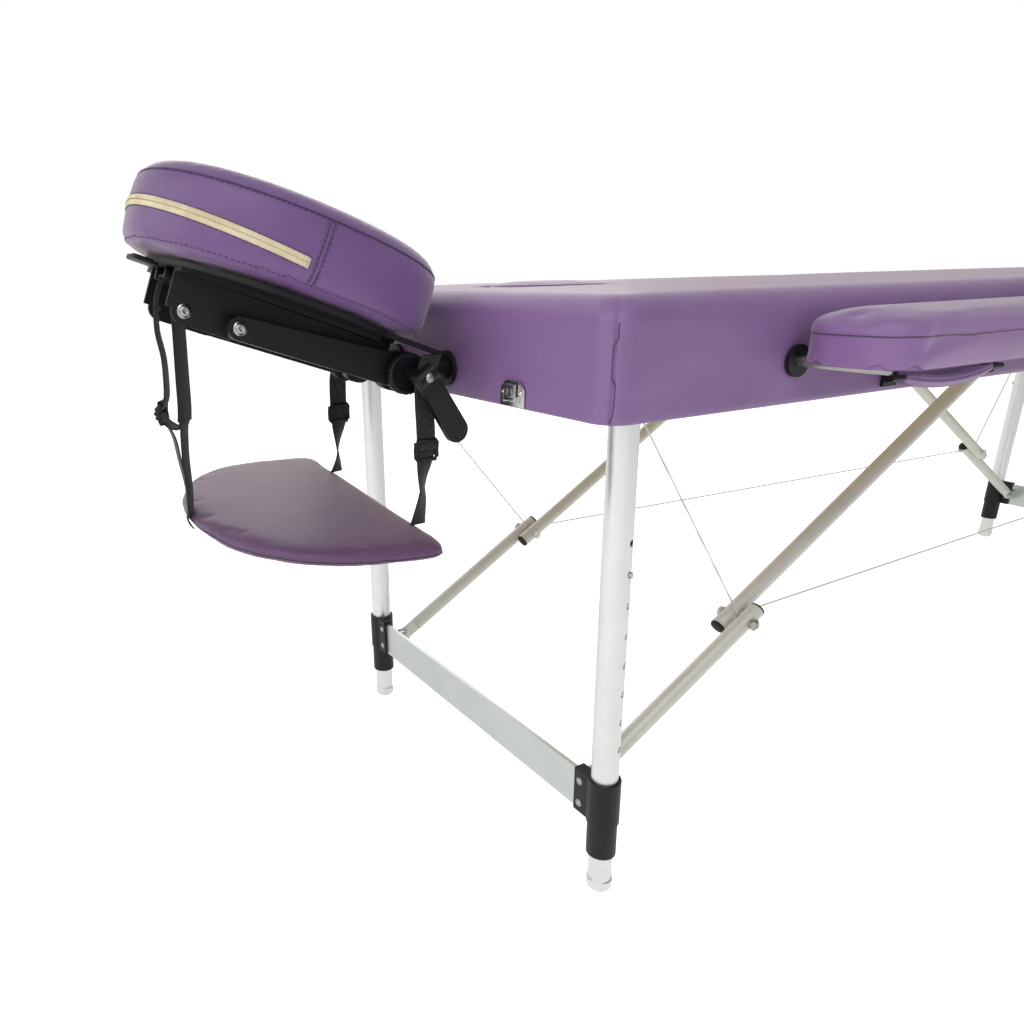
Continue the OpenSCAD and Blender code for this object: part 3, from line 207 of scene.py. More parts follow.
def metal(name, rgb, rough, streak, bump=0.00003, wear=0.1, metallic=1.0):
    """Brushed metal; streak is the scale of its marks along x, y and z."""
    m = Mat(name)
    base = lin(*rgb)
    n = m.noise(1.0, 4, 0.6, m.scaled(streak))
    spots = m.noise(22, 5, 0.65)
    col = m.ramp(spots, [(0.32, tuple(c * (1 - wear) for c in base)), (0.6, base)])
    r = m.math("ADD", m.span(n, rough - 0.06, rough + 0.06), m.span(spots, -0.03, 0.05))
    return m.set(Base_Color=col, Metallic=metallic, Roughness=r, Normal=m.bump(n, bump, 0.35, m.bevel(0.0004)))


def plastic(name, rgb, rough, scale=900.0, bump=0.00006):
    """Moulded plastic with a fine texture and a little dust."""
    m = Mat(name)
    base = lin(*rgb)
    v = m.noise(scale, 2, 0.6)
    dust = m.noise(14, 5, 0.62)
    col = m.ramp(dust, [(0.35, base), (0.8, tuple(min(1, c * 1.4 + 0.002) for c in base))])
    return m.set(Base_Color=col, Roughness=m.span(dust, rough - 0.06, rough + 0.12),
                 Normal=m.bump(v, bump, 0.5, m.bevel(0.0006)), Specular_IOR_Level=0.3)


def cable_material():
    m = Mat("stay_cable_wire")
    lay = m.wave(260, "DIAGONAL", 0.4)
    col = m.ramp(lay, [(0.1, lin(176, 177, 178)), (0.7, lin(232, 232, 230))])
    return m.set(Base_Color=col, Metallic=0.35, Roughness=m.span(m.noise(90), 0.32, 0.46),
                 Normal=m.bump(lay, 0.0003, 0.7))


def wood_material(name, light, dark):
    m = Mat(name)
    grain = m.noise(3.2, 6, 0.62, m.scaled((3, 26, 26)))
    fine = m.noise(24, 3, 0.6, m.scaled((6, 60, 60)))
    rings = m.ramp(grain, [(0.3, lin(*dark)), (0.55, lin(*light)), (0.72, lin(*dark))])
    col = m.mix(m.span(fine, 0, 0.5), rings, lin(*light))
    return m.set(Base_Color=col, Roughness=m.span(fine, 0.5, 0.68), Normal=m.bump(fine, 0.0003, 0.4, m.bevel(0.0008)))


def webbing_material():
    m = Mat("black_webbing")
    weave = m.math("MULTIPLY", m.wave(520.0, "Z", 0.6), m.wave(430.0, "Y", 0.6))
    col = m.ramp(weave, [(0.05, lin(10, 10, 12)), (0.8, lin(38, 38, 42))])
    return m.set(Base_Color=col, Roughness=m.span(m.noise(120), 0.75, 0.9), Normal=m.bump(weave, 0.0004, 0.8),
                 Sheen_Weight=0.25, Sheen_Roughness=0.5)


def tape_material():
    m = Mat("cream_zip_tape")
    col = m.ramp(m.noise(50, 4), [(0.3, lin(203, 190, 158)), (0.7, lin(228, 217, 188))])
    return m.set(Base_Color=col, Roughness=m.span(m.noise(200), 0.72, 0.88), Normal=m.bump(m.wave(700), 0.0002, 0.5))


def thread_material():
    m = Mat("stitching_thread")
    twist = m.noise(1800, 2, 0.5)
    col = m.ramp(twist, [(0.3, lin(64, 45, 84)), (0.7, lin(98, 72, 122))])
    return m.set(Base_Color=col, Roughness=m.span(twist, 0.6, 0.8), Normal=m.bump(twist, 0.0002, 0.6))


PURPLE = leather("purple_leathercloth", (130, 96, 150))
HEADREST = leather("headrest_leathercloth", (108, 76, 132), rough=0.44)
SLING = leather("sling_leathercloth", (96, 66, 104), rough=0.54)
ALU = metal("anodised_aluminium", (219, 223, 222), 0.36, (220, 220, 14), wear=0.05)
BRACE = metal("brace_aluminium", (202, 203, 196), 0.46, (40, 220, 40), wear=0.05, metallic=0.3)
BAR = metal("crossbar_aluminium", (196, 202, 201), 0.42, (260, 12, 260), bump=0.00005, wear=0.06)
ZINC = metal("zinc_steel", (176, 176, 172), 0.3, (300, 300, 300), wear=0.25)
CHROME = metal("polished_nickel", (214, 214, 216), 0.16, (90, 90, 90), wear=0.18)
BLACK = plastic("black_nylon", (15, 15, 19), 0.44)
BLACK_GLOSS = plastic("black_abs", (13, 13, 17), 0.34, 500, 0.00003)
RUBBER = plastic("brace_plug_rubber", (24, 24, 26), 0.62)
CABLE = cable_material()
WOOD = wood_material("plywood", (196, 180, 152), (176, 156, 124))
RAIL = wood_material("hardwood_rail", (206, 192, 166), (186, 168, 138))
WEB = webbing_material()
TAPE = tape_material()
COIL = plastic("zip_coil_nylon", (158, 142, 98), 0.5, 1400)
THREAD = thread_material()
# The seams' dark folds are coloured with painted shade of the creases along them
SEAM_SHADE = leather("seam_shadow", (58, 40, 74), rough=0.6)

# The CAD pieces take the material of the first word that their name holds, and BLACK if there is none
LOOKS = (("inner_leg", ALU), ("outer_legs", ALU), ("crossbar", BAR), ("braces", BRACE), ("cable", CABLE),
         ("latch", CHROME), ("deck", WOOD), ("_board", PURPLE), ("rails", RAIL), ("handle_tabs", BLACK),
         ("cushion", PURPLE), ("_pad", PURPLE), ("face_plug", PURPLE), ("_handle", PURPLE), ("sling_straps", WEB),
         ("corner_brackets", BLACK), ("_brackets", ZINC), ("hinge", ZINC), ("_bolts", ZINC), ("snap_button", ZINC),
         ("_rods", ZINC), ("cam_lever", BLACK_GLOSS), ("cradle_dowels", BLACK_GLOSS))
for name, piece in frame["nodes"].items():
    piece.data.materials.clear()
    piece.data.materials.append(next((m for word, m in LOOKS if word in name), BLACK))

# Mesh helpers


def mesh_object(name, verts, faces, material, smooth=True):
    me = bpy.data.meshes.new(name)
    v = np.asarray(verts, float) + np.array([S, 0, 0])
    me.from_pydata([tuple(p) for p in v], [], [tuple(int(i) for i in f) for f in faces])
    me.validate()
    me.update()
    ob = bpy.data.objects.new(name, me)
    bpy.context.collection.objects.link(ob)
    me.materials.append(material)
    if smooth:
        me.polygons.foreach_set("use_smooth", [True] * len(me.polygons))
    return ob


def trim(name, mesh, material, body, smooth=True):
    """A piece made from (verts, faces) that rides a body."""
    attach(mesh_object(name, *mesh, material, smooth), body)


def loft(rings, close=False):
    """Skins a list of rings of points; the ends are capped, or joined when close is set."""
    n, m = len(rings[0]), len(rings)
    v = [p for r in rings for p in r]
    f = []
    for i in range(m if close else m - 1):
        k = (i + 1) % m
        for j in range(n):
            f.append((i * n + j, i * n + (j + 1) % n, k * n + (j + 1) % n, k * n + j))
    if not close:
        v.append(np.mean(rings[0], axis=0))
        f += [(len(v) - 1, (j + 1) % n, j) for j in range(n)]
        v.append(np.mean(rings[-1], axis=0))
        f += [(len(v) - 1, (m - 1) * n + j, (m - 1) * n + (j + 1) % n) for j in range(n)]
    return v, f


def merge(parts):
    v, f = [], []
    for pv, pf in parts:
        k = len(v)
        v += [tuple(p) for p in pv]
        f += [tuple(i + k for i in q) for q in pf]
    return v, f


def rounded_rect(hx, hy, r, step, corner_n):
    """Outline points (x, y, s), counter-clockwise; s is the distance from the corner's middle, or 1 on a side."""
    corners = ((hx - r, hy - r), (r - hx, hy - r), (r - hx, r - hy), (hx - r, r - hy))
    pts = []
    for k, (cx, cy) in enumerate(corners):
        for i in range(corner_n + 1):
            t = radians(90 * k + 90 * i / corner_n)
            pts.append((cx + r * cos(t), cy + r * sin(t), (i / corner_n - 0.5) * r * pi / 2))
        cx, cy = corners[(k + 1) % 4]
        t = radians(90 * (k + 1))
        a, b = np.array(pts[-1][:2]), np.array((cx + r * cos(t), cy + r * sin(t)))
        m = max(2, int(np.linalg.norm(b - a) / step))
        for i in range(1, m):
            q = a + (b - a) * i / m
            pts.append((q[0], q[1], 1.0))
    return pts


def square_to(d, ref=None):
    """A unit vector square to d and to ref, which is up unless d is nearly upright."""
    if ref is None:
        ref = (0, 0, 1.0) if abs(d[2]) < 0.9 else (1.0, 0, 0)
    s = np.cross(d, ref)
    return s / np.linalg.norm(s)


def circle(c, r, s, w, n):
    return [c + r * (cos(t) * s + sin(t) * w) for t in np.linspace(0, 2 * pi, n, endpoint=False)]


def tube(points, radius, sides, closed=False):
    """A round tube along a path."""
    P = [np.array(p, float) for p in points]
    n = len(P)
    rings = []
    for i in range(n):
        t = P[(i + 1) % n] - P[(i - 1) % n] if closed else P[min(n - 1, i + 1)] - P[max(0, i - 1)]
        t = t / (np.linalg.norm(t) + 1e-12)
        s = square_to(t)
        w = np.cross(s, t)
        angles = [2 * pi * k / sides for k in range(sides)]
        rings.append([P[i] + radius * (cos(a) * s + sin(a) * w) for a in angles])
    return loft(rings, closed)


STITCH_PITCH, STITCH_LENGTH, STITCH_R, STITCH_LIFT = 0.0052, 0.0034, 0.00045, 0.0003


def capsule(c, d, length, r):
    """A stitch: a short rounded rod at c along d."""
    d = np.array(d, float)
    d /= np.linalg.norm(d) + 1e-12
    h = length / 2
    s = square_to(d)
    w = np.cross(s, d)
    return loft([circle(np.array(c) + d * h * k, r * q, s, w, 6)
                 for k, q in ((-1, 0.25), (-0.8, 0.8), (0, 1.0), (0.8, 0.8), (1, 0.25))])


def lengths(P):
    """The distance along a path at each of its points."""
    return np.concatenate([[0], np.cumsum(np.linalg.norm(np.diff(P, axis=0), axis=1))])


def at(s, L, A):
    """The row of A at distance s along a path whose points lie at distances L."""
    return np.array([np.interp(s, L, A[:, k]) for k in range(3)])


def resample(points, step):
    P = np.array(points, float)
    L = lengths(P)
    s = np.linspace(0, L[-1], max(2, int(L[-1] / step) + 1))
    return np.stack([np.interp(s, L, P[:, k]) for k in range(3)], 1)


def tangents(P):
    T = np.gradient(P, axis=0)
    return T / (np.linalg.norm(T, axis=1)[:, None] + 1e-12)


def drop_to(ob, points):
    """Moves points to the nearest place on an object's surface, and gives the surface's normals there."""
    me = ob.data
    tree = BVHTree.FromPolygons([v.co.copy() for v in me.vertices], [list(p.vertices) for p in me.polygons])
    out, nor = [], []
    for p in points:
        q, n, _, _ = tree.find_nearest(Vector((p[0] + S, p[1], p[2])))
        out.append((q.x - S, q.y, q.z))
        nor.append(tuple(n))
    return np.array(out), np.array(nor)


def stitches(P, N):
    """A row of stitches along points P of a surface with normals N."""
    L = lengths(P)
    parts = []
    for s in np.arange(STITCH_PITCH / 2, L[-1], STITCH_PITCH):
        ahead, behind = at(min(L[-1], s + 0.001), L, P), at(max(0, s - 0.001), L, P)
        parts.append(capsule(at(s, L, P) + at(s, L, N) * STITCH_LIFT, ahead - behind, STITCH_LENGTH, STITCH_R))
    return merge(parts)


def seam(name, ob, path, body, fold=None, rows=(), step=0.004):
    """A sewn seam on a cover: a fold of radius fold on its surface, coloured dark as painted shade of the seam's
    crease, and rows of stitches beside it.
    """
    P, N = drop_to(ob, resample(path, step))
    if fold:
        trim(name + "_fold", tube(P + N * 0.0001, fold, 6), SEAM_SHADE, body)
    side = np.cross(tangents(P), N)
    if rows:
        trim(name + "_stitches", merge([stitches(*drop_to(ob, P + side * off)) for off in rows]), THREAD, body)


def coords(me):
    a = np.zeros(len(me.vertices) * 3)
    me.vertices.foreach_get("co", a)
    return a.reshape(-1, 3)


CLOTH = {"quality": 6, "mass": 0.25, "tension_stiffness": 18, "compression_stiffness": 14, "shear_stiffness": 8,
         "bending_stiffness": 1.2, "use_pressure": True}
CLOTH_FRAMES = 20


def puff(ob, voxel, pressure, cap, held_below=None):
    """Remeshes a cover and swells it by at most cap with a short cloth simulation; what is below held_below stays."""
    mod = ob.modifiers.new("remesh", "REMESH")
    mod.mode = "VOXEL"
    mod.voxel_size = voxel
    me = bpy.data.meshes.new_from_object(ob.evaluated_get(bpy.context.evaluated_depsgraph_get()))
    ob.modifiers.clear()
    ob.data = me
    base = coords(me).copy()
    cloth = ob.modifiers.new("cloth", "CLOTH")
    for key, value in CLOTH.items():
        setattr(cloth.settings, key, value)
    cloth.settings.uniform_pressure_force = pressure
    cloth.settings.effector_weights.gravity = 0
    if held_below is not None:
        g = ob.vertex_groups.new(name="held")
        g.add([int(i) for i in np.where(base[:, 2] < held_below)[0]], 1.0, "REPLACE")
        cloth.settings.vertex_group_mass = "held"
    cloth.collision_settings.use_self_collision = False
    cloth.point_cache.frame_start = 1
    cloth.point_cache.frame_end = CLOTH_FRAMES
    for k in range(1, CLOTH_FRAMES + 1):
        bpy.context.scene.frame_set(k)
    swollen = coords(ob.evaluated_get(bpy.context.evaluated_depsgraph_get()).to_mesh()).copy()
    ob.modifiers.clear()
    d = swollen - base
    d = d * np.minimum(1, cap / np.maximum(np.linalg.norm(d, axis=1, keepdims=True), 1e-9))
    me.vertices.foreach_set("co", (base + d).ravel())
    me.update()
    me.polygons.foreach_set("use_smooth", [True] * len(me.polygons))
    bpy.context.scene.frame_set(1)
    smooth(ob)
    return ob


def smooth(ob):
    sub = ob.modifiers.new("smooth", "SUBSURF")
    sub.levels = sub.render_levels = 1


HALF, UNDER = 0.925, 0.534  # half the table's length, and the height of its underside

# The head cushion: a padded ring, open towards the table, swept round a squared oval on the cradle's platform
TILT = radians(20)
CRADLE_X, CRADLE_Z = -(HALF + 0.172), UNDER + 0.102
PAD_W, PAD_H, PAD_R = 0.074, 0.076, 0.017
OVAL_X, OVAL_Y, SQUARE = 0.158 - PAD_W / 2, 0.127 - PAD_W / 2, 2.3
PAD_GAP = radians(13)
PAD_SHRINK = 0.0035


def cradle_point(p):
    """A point of the tilted platform's own frame."""
    x, y, z = p
    c, s = cos(TILT), sin(TILT)
    return np.array([CRADLE_X + x * c + z * s, y, CRADLE_Z - x * s + z * c])


def signed_power(v, k):
    return copysign(abs(v) ** k, v)


def pad_centre(a):
    return np.array([OVAL_X * signed_power(cos(a), 2 / SQUARE), OVAL_Y * signed_power(sin(a), 2 / SQUARE)])


def pad_normal(a):
    x, y = pad_centre(a)
    g = np.array([signed_power(x / OVAL_X, SQUARE - 1) / OVAL_X, signed_power(y / OVAL_Y, SQUARE - 1) / OVAL_Y])
    return g / np.linalg.norm(g)


def pad_profile(shrink):
    """The ring's section, with a crown on top and bellied walls."""
    hw, hh = PAD_W / 2 - shrink, PAD_H / 2 - shrink
    pts = []
    for x, y, _ in rounded_rect(hw, hh, PAD_R - shrink, 0.007, 6):
        rise = 0.010 * (1 - (x / hw) ** 2) if y > 0 else 0.0
        belly = 0.0018 * (1 - (y / hh) ** 2) * (1 if x > 0 else -1) if abs(x) > hw * 0.8 else 0.0
        pts.append((x + belly, y + rise))
    return pts


def pad_rings(shrink, stations=84):
    first, last = PAD_GAP, 2 * pi - PAD_GAP
    section = pad_profile(shrink)
    R = PAD_R - shrink
    turns = [radians(b) for b in (88, 75, 60, 45, 30, 15)]

    def station(c, n, s):
        """The section at the point c of the oval, across its normal n and scaled by s."""
        return [cradle_point((c[0] + n[0] * x * s, c[1] + n[1] * x * s, 0.0008 + PAD_H / 2 + y * s))
                for x, y in section]

    def end(a, way):
        """The rounded end of the ring at angle a, from its tip inwards."""
        n = pad_normal(a)
        t = np.array([-n[1], n[0]]) * way
        return [station(pad_centre(a) + t * R * sin(b), n, 1 - (1 - cos(b)) * R / (PAD_W / 2))
                for b in turns]

    angles = [first + (last - first) * i / stations for i in range(stations + 1)]
    return end(first, -1) + [station(pad_centre(a), pad_normal(a), 1) for a in angles] + end(last, 1)[::-1]


head_pad = mesh_object("headrest_cushion", *loft(pad_rings(PAD_SHRINK)), HEADREST)
puff(head_pad, 0.0048, 4.0, 0.0045)
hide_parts("head_pad")
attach(head_pad, "cradle_platform")


def pad_wall(a, up, out=0.0):
    """A point on the ring's outer wall, at an angle and a height, before it is dropped to the cover."""
    c, n = pad_centre(a), pad_normal(a)
    w = PAD_W / 2 + out
    return cradle_point((c[0] + n[0] * w, c[1] + n[1] * w, up))


ring_angles = [radians(a) for a in np.linspace(16, 344, 200)]
top_seam = [pad_wall(a, 0.069, -0.0045) for a in ring_angles]
low_seam = [pad_wall(a, 0.006, -0.004) for a in ring_angles]
seam("headrest_top_seam", head_pad, top_seam, "cradle_platform", 0.0006, rows=(0.0015,))
seam("headrest_low_seam", head_pad, low_seam, "cradle_platform", rows=(0.0,))
for k, middle in enumerate((radians(264.5), radians(95.5))):
    for tag, turn, row in (("a", -0.012, -0.0014), ("b", 0.012, 0.0014)):
        up = [pad_wall(middle + turn + 0.03 * t, 0.006 + 0.062 * t) for t in np.linspace(0, 1, 24)]
        seam(f"headrest_side_seam_{k}_{tag}", head_pad, up, "cradle_platform", 0.00045, rows=(row,))

# The zip round the ring's far end: a flat tape, its coil and a row of stitches on each side
TAPE_HALF, TAPE_THICK = 0.0048, 0.0006
zip_path = [pad_wall(radians(a), 0.041 - 0.0145 * (abs(a - 180) / 82) ** 1.3)
            for a in np.linspace(98, 262, 130)]
P, N = drop_to(head_pad, resample(zip_path, 0.004))
side = np.cross(N, tangents(P))
rings = []
for p, n, s in zip(P, N, side):
    edge, low, high = s * TAPE_HALF, n * TAPE_THICK * 0.3, n * (TAPE_THICK + TAPE_THICK)
    rings.append([p + edge + low, p + edge * 0.9 + high, p + n * (TAPE_THICK + TAPE_THICK * 1.3),
                  p - edge * 0.9 + high, p - edge + low, p - n * TAPE_THICK])
trim("headrest_zip_tape", loft(rings), TAPE, "cradle_platform")
L = lengths(P)
teeth = [capsule(at(s, L, P) + at(s, L, N) * 0.0014, at(s, L, side), 0.0015, 0.0005)
         for s in np.arange(0.002, L[-1] - 0.002, 0.0021)]
trim("headrest_zip_coil", merge(teeth), COIL, "cradle_platform")
for tag, way in (("low", -1), ("up", 1)):
    row = stitches(*drop_to(head_pad, P + side * 0.0052 * way))
    trim(f"headrest_zip_stitches_{tag}", row, THREAD, "cradle_platform")

# The two halves of the table
FOLD_GAP = 0.0015
HX, HY = (HALF - FOLD_GAP) / 2, 0.300  # half sizes of one half
MID = -(HALF + FOLD_GAP) / 2  # the head half's middle
CORNER_R, EDGE_R, EDGE_H, SIDE = 0.024, 0.024, 0.022, 0.084
TOP = UNDER + SIDE + EDGE_H
HOLE_X, HOLE_L, HOLE_W = -HALF + 0.172, 0.166, 0.130
CAVITY = 0.062
LIP_POINTS, LEVEL_POINTS = 5, 23  # the profile's points that keep their outline, and those that keep their height


def crown(x, y):
    u, w = abs(x) / HX, abs(y) / HY
    return 0.0032 * (1 - u ** 6) * (1 - w ** 4)


def ripple(x, y, z):
    return (sin(x * 41 + 1.3 * sin(y * 23)) * sin(y * 37 + z * 19 + 0.7) * 0.5
            + sin(x * 97 + y * 61 + 2.1) * sin(z * 143 + x * 31) * 0.25)


def corner_pull(s, z):
    """How far the cover is drawn in beside a corner seam; s is the distance from the seam."""
    if s >= 1.0:
        return 0.0
    groove = 0.0016 * exp(-(s / 0.0016) ** 2)
    pucker = 0.0003 * sin(z * 2 * pi / 0.021) * exp(-abs(s) / 0.011)
    return groove + pucker * max(0.0, min(1.0, 1.2 - abs((z - UNDER) / SIDE - 0.5)))


def stadium(length, width, n):
    """n points of an outline with two straight sides and two round ends."""
    pts = []
    L, W = (length - width) / 2, width / 2
    per = 4 * L + 2 * pi * W
    for i in range(n):
        s = per * i / n
        if s < pi * W / 2:
            t = s / W
            pts.append((L + W * cos(t), W * sin(t)))
        elif s < pi * W / 2 + 2 * L:
            pts.append((L - (s - pi * W / 2), W))
        elif s < pi * W * 1.5 + 2 * L:
            t = (s - 2 * L) / W
            pts.append((-L + W * cos(t), W * sin(t)))
        elif s < pi * W * 1.5 + 4 * L:
            pts.append((-L + (s - pi * W * 1.5 - 2 * L), -W))
        else:
            t = (s - 4 * L) / W
            pts.append((L + W * cos(t), W * sin(t)))
    return pts


def on_hole(a, grow):
    """Where a ray at angle a from the face hole's middle meets its rim, grown by grow."""
    L, w = (HOLE_L - HOLE_W) / 2, HOLE_W / 2 + grow
    c, s = cos(a), sin(a)
    if abs(c) <= 1e-9:
        return 0.0, w * s
    t = w / abs(s) if abs(s) > 1e-9 else 1e9
    if abs(t * c) > L:
        b = c * copysign(L, c)
        t = b + sqrt(max(0, b * b - L * L + w * w))
    return t * c, t * s


def half_cover(sign, hole):
    """The cover and foam of one half; sign -1 is the head half and 1 the foot half."""
    outline = rounded_rect(HX, HY, CORNER_R, 0.011, 22)
    # (inset, height) from inside the cavity, round the lip underneath, up the wall and over the top edge
    profile = [(0.0043, UNDER + CAVITY + 0.0006), (0.0043, UNDER + 0.03), (0.0043, UNDER + 0.0015),
               (0.0032, UNDER + 0.0002), (0.0012, UNDER + 0.0008), (0.0003, UNDER + 0.003)]
    profile += [(0.0019 * sin(pi * t), UNDER + 0.003 + (SIDE - 0.003) * t)
                for t in np.linspace(0.04, 1, 16)]
    profile += [(EDGE_R * (1 - cos(a)), UNDER + SIDE + EDGE_H * sin(a))
                for a in np.linspace(0, pi / 2, 11)[1:]]
    rings = []
    for i, (d, z) in enumerate(profile):
        ring = []
        for x, y, s in outline:
            e = d + corner_pull(s, z) - 0.0006 * ripple(x, y, z) if i >= LIP_POINTS else d
            qx, qy = x * (HX - e) / HX, y * (HY - e) / HY
            ring.append((qx, qy, z + (crown(qx, qy) if i >= LEVEL_POINTS else 0.0)))
        rings.append(ring)
    edge = [np.array(p[:2]) for p in rings[-1]]
    hc = np.array([HOLE_X - MID, 0.0])
    angles = [atan2(p[1] - hc[1], p[0] - hc[0]) for p in edge]
    if hole:
        inner, steps, phase = [np.array(on_hole(a, 0.014)) + hc for a in angles], 26, 0
    else:
        inner, steps, phase = [np.zeros(2)] * len(edge), 20, 3
    for k in range(1, steps + 1 if hole else steps):
        t = k / steps
        top = [p * (1 - t) + q * t for p, q in zip(edge, inner)]
        rings.append([(x, y, TOP + crown(x, y) + 0.0004 * ripple(x + phase, y, 0)) for x, y in top])
    if hole:
        # (growth of the rim, depth) down the hole's wall
        for grow, dz in ((0.0108, -0.0006), (0.0078, -0.0020), (0.0052, -0.0042), (0.0030, -0.0070),
                         (0.0014, -0.0100), (0.0004, -0.0140), (0.0002, -0.030), (0.0002, -0.0435)):
            ring = []
            for a in angles:
                x, y = np.array(on_hole(a, grow)) + hc
                wobble = 0.0005 * sin(a * 17) * exp(-abs(dz) * 200)
                ring.append((x, y, TOP + crown(x, y) * (1 if dz > -0.02 else 0) + dz + wobble))
            rings.append(ring)
    v, f = loft(rings, close=hole)
    v = np.array([tuple(p) for p in v])
    v[:, 0] += MID
    if sign > 0:
        v[:, 0] *= -1
        f = [tuple(reversed(q)) for q in f]
    return v, f


for sign, body, node, hole in ((-1, "head_half", "head_cushion", True), (1, "foot_half", "foot_cushion", False)):
    o = mesh_object(node.replace("cushion", "upholstery"), *half_cover(sign, hole), PURPLE)
    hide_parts(node)
    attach(o, body)
    inset = CORNER_R * (1 - sqrt(0.5))
    for cx in (-1, 1):
        for cy in (-1, 1):
            px, py = (MID if sign < 0 else -MID) + cx * (HX - inset), cy * (HY - inset)
            path = []
            for z in np.linspace(UNDER + 0.003, UNDER + SIDE, 40):
                sway = 0.0006 * sin(z * 110)
                path.append((px + cx * sway, py - cy * sway, z))
            tag = f"{'head' if sign < 0 else 'foot'}_{'out' if cx == sign else 'in'}_{'near' if cy < 0 else 'far'}"
            seam(f"corner_seam_{tag}", o, path, body, 0.00045, step=0.006)

# The face plug, with a soft round edge and a crown above the table's top
PLUG_GAP, PLUG_R = 0.0006, 0.0125
PLUG_Z = UNDER + CAVITY + 0.0006
profile = [(0.004, PLUG_Z), (0.0008, PLUG_Z + 0.003), (0.0, PLUG_Z + 0.010), (0.0, TOP - PLUG_R)]
profile += [(0.0105 * (1 - cos(a)), TOP - PLUG_R + PLUG_R * sin(a))
            for a in np.linspace(0, pi / 2, 9)]
profile += [(0.015, TOP + 0.0018), (0.022, TOP + 0.0042), (0.034, TOP + 0.0064), (0.048, TOP + 0.0074)]
rings = []
for d, z in profile:
    outline = stadium(HOLE_L - 2 * PLUG_GAP - 2 * d, HOLE_W - 2 * PLUG_GAP - 2 * d, 96)
    rings.append([(HOLE_X + x, y, z) for x, y in outline])
plug = mesh_object("face_hole_plug", *loft(rings), PURPLE)
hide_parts("face_plug")
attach(plug, "face_plug")
# A dark fold on the plug's top, painted shade of a crease
path = [(HOLE_X + x, y, TOP + 0.0030) for x, y in stadium(HOLE_L - 0.036, HOLE_W - 0.036, 120)]
seam("face_plug_seam", plug, path + path[:1], "face_plug", 0.0005)

# Side armrests
REST_L, REST_W, REST_R, REST_SIDE, REST_EDGE, REST_CROWN = 0.629, 0.104, 0.036, 0.031, 0.0125, 0.0045
ROD_Z = UNDER + 0.041
REST_X, REST_Y = -(0.097 + REST_L / 2), -(HY + 0.008 + REST_W / 2)
REST_SHRINK = 0.0015


def rest_rings(shrink):
    hx, hy = REST_L / 2 - shrink, REST_W / 2 - shrink
    profile = [(0.0042, ROD_Z + 0.0104), (0.0042, ROD_Z + 0.002), (0.0030, ROD_Z + 0.0004),
               (0.0008, ROD_Z + 0.0012)]
    profile += [(0.0012 * sin(pi * t), ROD_Z + 0.002 + (REST_SIDE - 0.002) * t)
                for t in np.linspace(0.04, 1, 21)]
    profile += [(REST_EDGE * (1 - cos(a)), ROD_Z + REST_SIDE + REST_EDGE * sin(a))
                for a in np.linspace(0, pi / 2, 7)[1:]]
    profile += [(REST_EDGE + (hy - REST_EDGE) * s, ROD_Z + REST_SIDE + REST_EDGE + REST_CROWN * (1 - (1 - s) ** 2))
                for s in (0.12, 0.3, 0.5, 0.7, 0.88)]
    rings = []
    for d, z in profile:
        ring = []
        for x, y, s in rounded_rect(hx, hy, REST_R - shrink, 0.012, 14):
            # gathered folds low on the corners
            low = max(0.0, 1 - abs((z - ROD_Z) / REST_SIDE - 0.42) * 1.9)
            fold = 0.0011 * sin((z - ROD_Z) * 2 * pi / 0.0078) * exp(-(s / 0.014) ** 2) * low
            e = d + (fold if abs(s) < 0.9 else 0.0)
            ring.append((REST_X + x * (hx - e) / hx, REST_Y + y * (hy - e) / hy, z))
        rings.append(ring)
    return rings


near = mesh_object("armrest_near_cushion", *loft(rest_rings(REST_SHRINK)), PURPLE)
puff(near, 0.0048, 3.0, 0.0022, held_below=ROD_Z + 0.012)
far_mesh = near.data.copy()
c = coords(far_mesh)
c[:, 1] *= -1
far_mesh.vertices.foreach_set("co", c.ravel())
far_mesh.flip_normals()
far = bpy.data.objects.new("armrest_far_cushion", far_mesh)
bpy.context.collection.objects.link(far)
if near.modifiers:
    smooth(far)
for body, o, sy in (("armrest_near", near, 1), ("armrest_far", far, -1)):
    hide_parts(f"{body}_pad")
    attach(o, body)
    path = [(REST_X + x, sy * (REST_Y + y), ROD_Z + REST_SIDE - 0.004)
            for x, y, _ in rounded_rect(REST_L / 2, REST_W / 2, REST_R, 0.01, 12)]
    seam(f"{body}_seam", o, path + path[:1], body, 0.0006)

# Arm sling: a thin half-moon pad, its straight edge towards the table
SLING_X, SLING_Z, SLING_T = -(HALF + 0.068), 0.404, 0.016
MOON_DEEP, MOON_HALF = 0.212, 0.170
SLING_TILT, SLING_ROLL = radians(3), radians(4.5)


def sling_point(x, y, z):
    """A point of the pad's own frame, whose straight edge is at x = 0."""
    c, s = cos(SLING_ROLL), sin(SLING_ROLL)
    y, z = y * c - z * s, y * s + z * c
    c, s = cos(SLING_TILT), sin(SLING_TILT)
    return np.array([SLING_X + x * c + z * s, y, SLING_Z - x * s + z * c])


def moon(n=110, m=50):
    """The pad's outline, evenly spaced and with its corners rounded."""
    pts = [(-MOON_DEEP * sin(t) ** 0.6, MOON_HALF * cos(t)) for t in np.linspace(0, pi, n)]
    pts += [(0.0, -MOON_HALF + 2 * MOON_HALF * k / m) for k in range(1, m)]
    P = np.array(pts)
    L = np.concatenate([[0], np.cumsum(np.linalg.norm(np.roll(P, -1, 0) - P, axis=1))])
    s = np.linspace(0, L[-1], n + m, endpoint=False)
    Q = np.concatenate([P, P[:1]])
    R = np.stack([np.interp(s, L, Q[:, k]) for k in range(2)], 1)
    for _ in range(10):
        R = (np.roll(R, 1, 0) + 2 * R + np.roll(R, -1, 0)) / 4
    return [tuple(p) for p in R]


outline = moon()
core = MOON_DEEP * 0.45
rings = []
